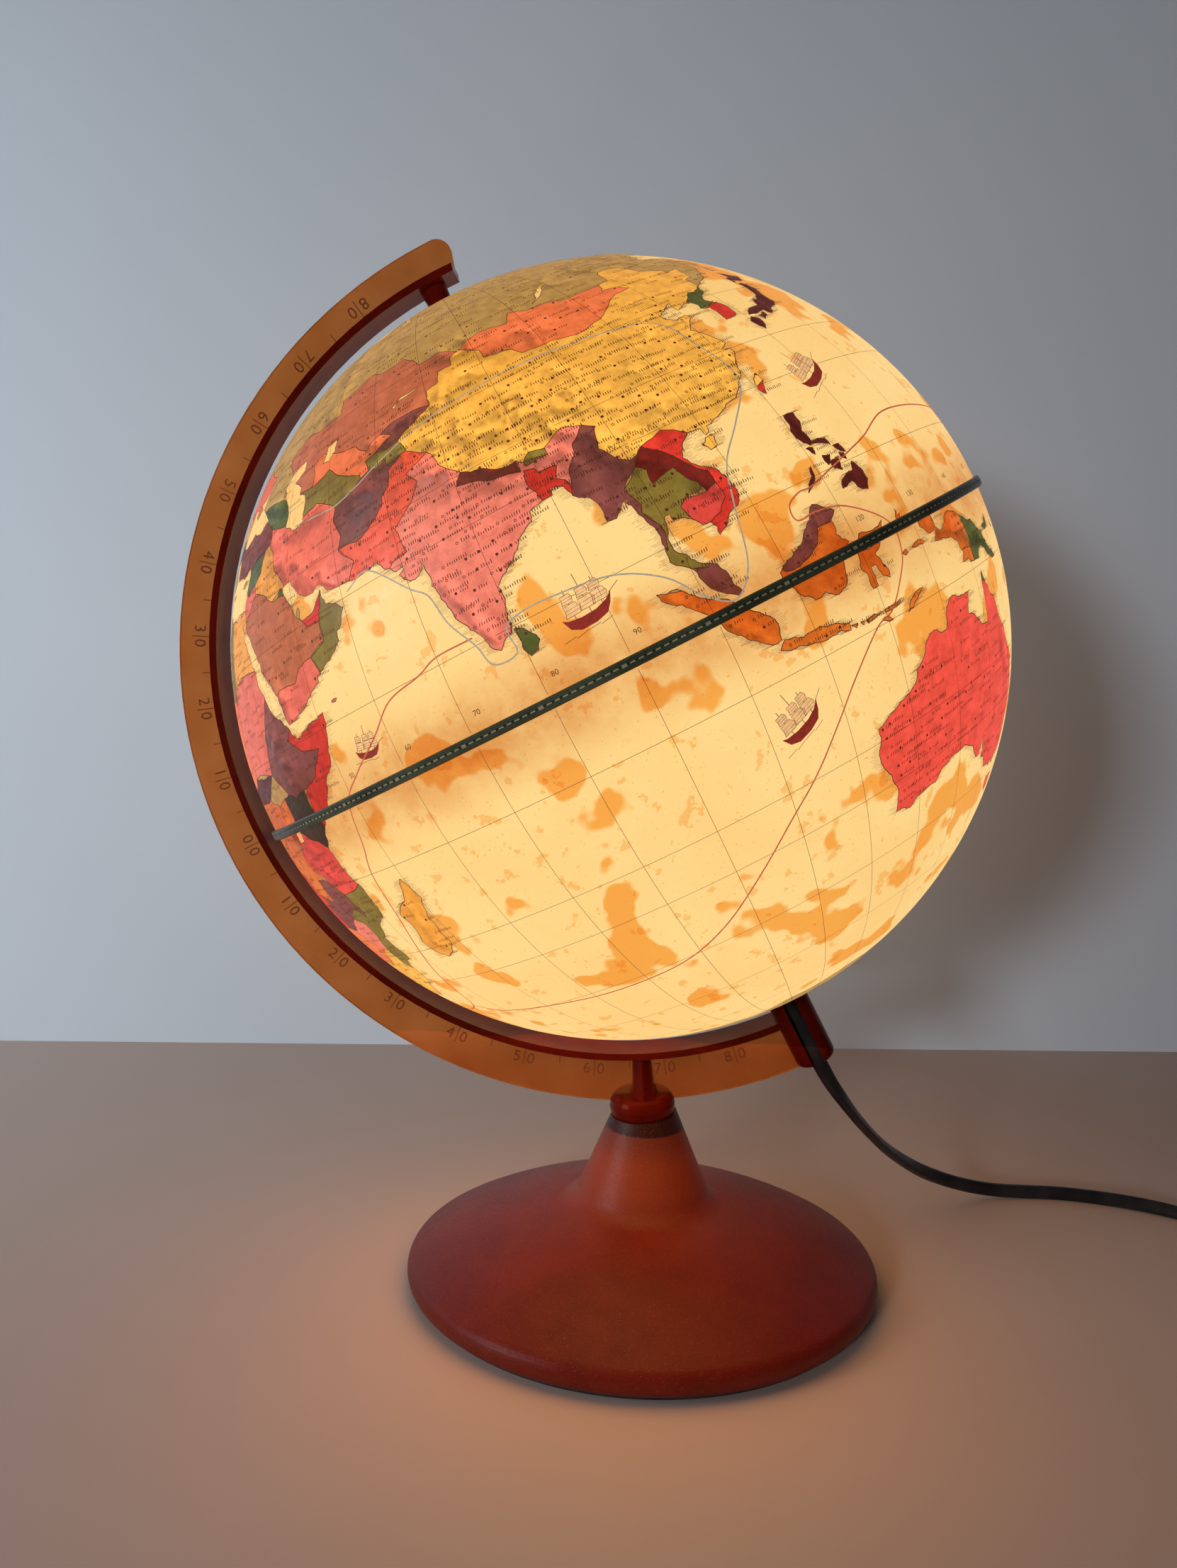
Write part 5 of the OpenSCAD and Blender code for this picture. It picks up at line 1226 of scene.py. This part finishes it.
def make_room():
    run = unit(WALL_B - WALL_A)
    left, right = WALL_A - run * WALL_REACH, WALL_B + run * WALL_REACH
    deep = np.array((0, FLOOR_REACH))
    floor = mesh_object("floor", [(*p, 0) for p in (left - deep, right - deep, right + deep, left + deep)],
                        [(0, 1, 2, 3)], False)
    wall = mesh_object("wall", [(*left, 0), (*right, 0), (*right, WALL_HIGH), (*left, WALL_HIGH)],
                       [(0, 1, 2, 3)], False)
    floor.data.materials.append(stage_material("pale_table", (0.50, 0.365, 0.305), 0.5, 6).mat)
    wall.data.materials.append(stage_material("pale_wall", (0.60, 0.635, 0.685), 0.8, 5, False).mat)


def soft_light(name, at, target, power, size, colour, spread=3.1):
    """A square light that can't be seen itself, except that the daylight shows in glossy surfaces."""
    data = bpy.data.lights.new(name, "AREA")
    data.energy, data.size, data.color, data.spread = power, size, colour, spread
    ob = bpy.data.objects.new(name, data)
    ob.location = at
    ob.rotation_euler = (Vector(target) - Vector(at)).to_track_quat("-Z", "Y").to_euler()
    ob.visible_camera = ob.visible_transmission = False
    ob.visible_glossy = name == "daylight"
    bpy.context.scene.collection.objects.link(ob)


def make_lights():
    soft_light("window", (-0.51, -1.26, 0.34), (0.05, 0.1, 0.22), 7.9, 0.17, (0.82, 0.92, 1.0))
    soft_light("daylight", (-1.0, -0.42, 0.47), (-0.42, 0.25, 0.14), 1.65, 0.5, (0.80, 0.92, 1.0), 1.6)
    soft_light("warm_fill", (0.35, -0.9, 0.9), (0.0, 0.0, 0.05), 0.35, 0.8, (1.0, 0.55, 0.30))
    # the ball's own glow on what stands near it, from just outside the ball
    for name, way, power in (("glow_below", unit((0, -0.15, -1)), 0.095),
                             ("glow_beside", unit((0.75, 0.6, -0.15)), 0.03)):
        soft_light(name, CENTRE + 0.129 * way, CENTRE + way, power, 0.15, (1.0, 0.36, 0.08))
    world = bpy.data.worlds.new("room")
    bpy.context.scene.world = world
    world.use_nodes = True
    world.node_tree.nodes["Background"].inputs["Color"].default_value = (0.85, 0.88, 1.0, 1)
    world.node_tree.nodes["Background"].inputs["Strength"].default_value = 0.03
    bpy.context.scene.view_settings.view_transform = "Standard"


make_room()
make_lights()
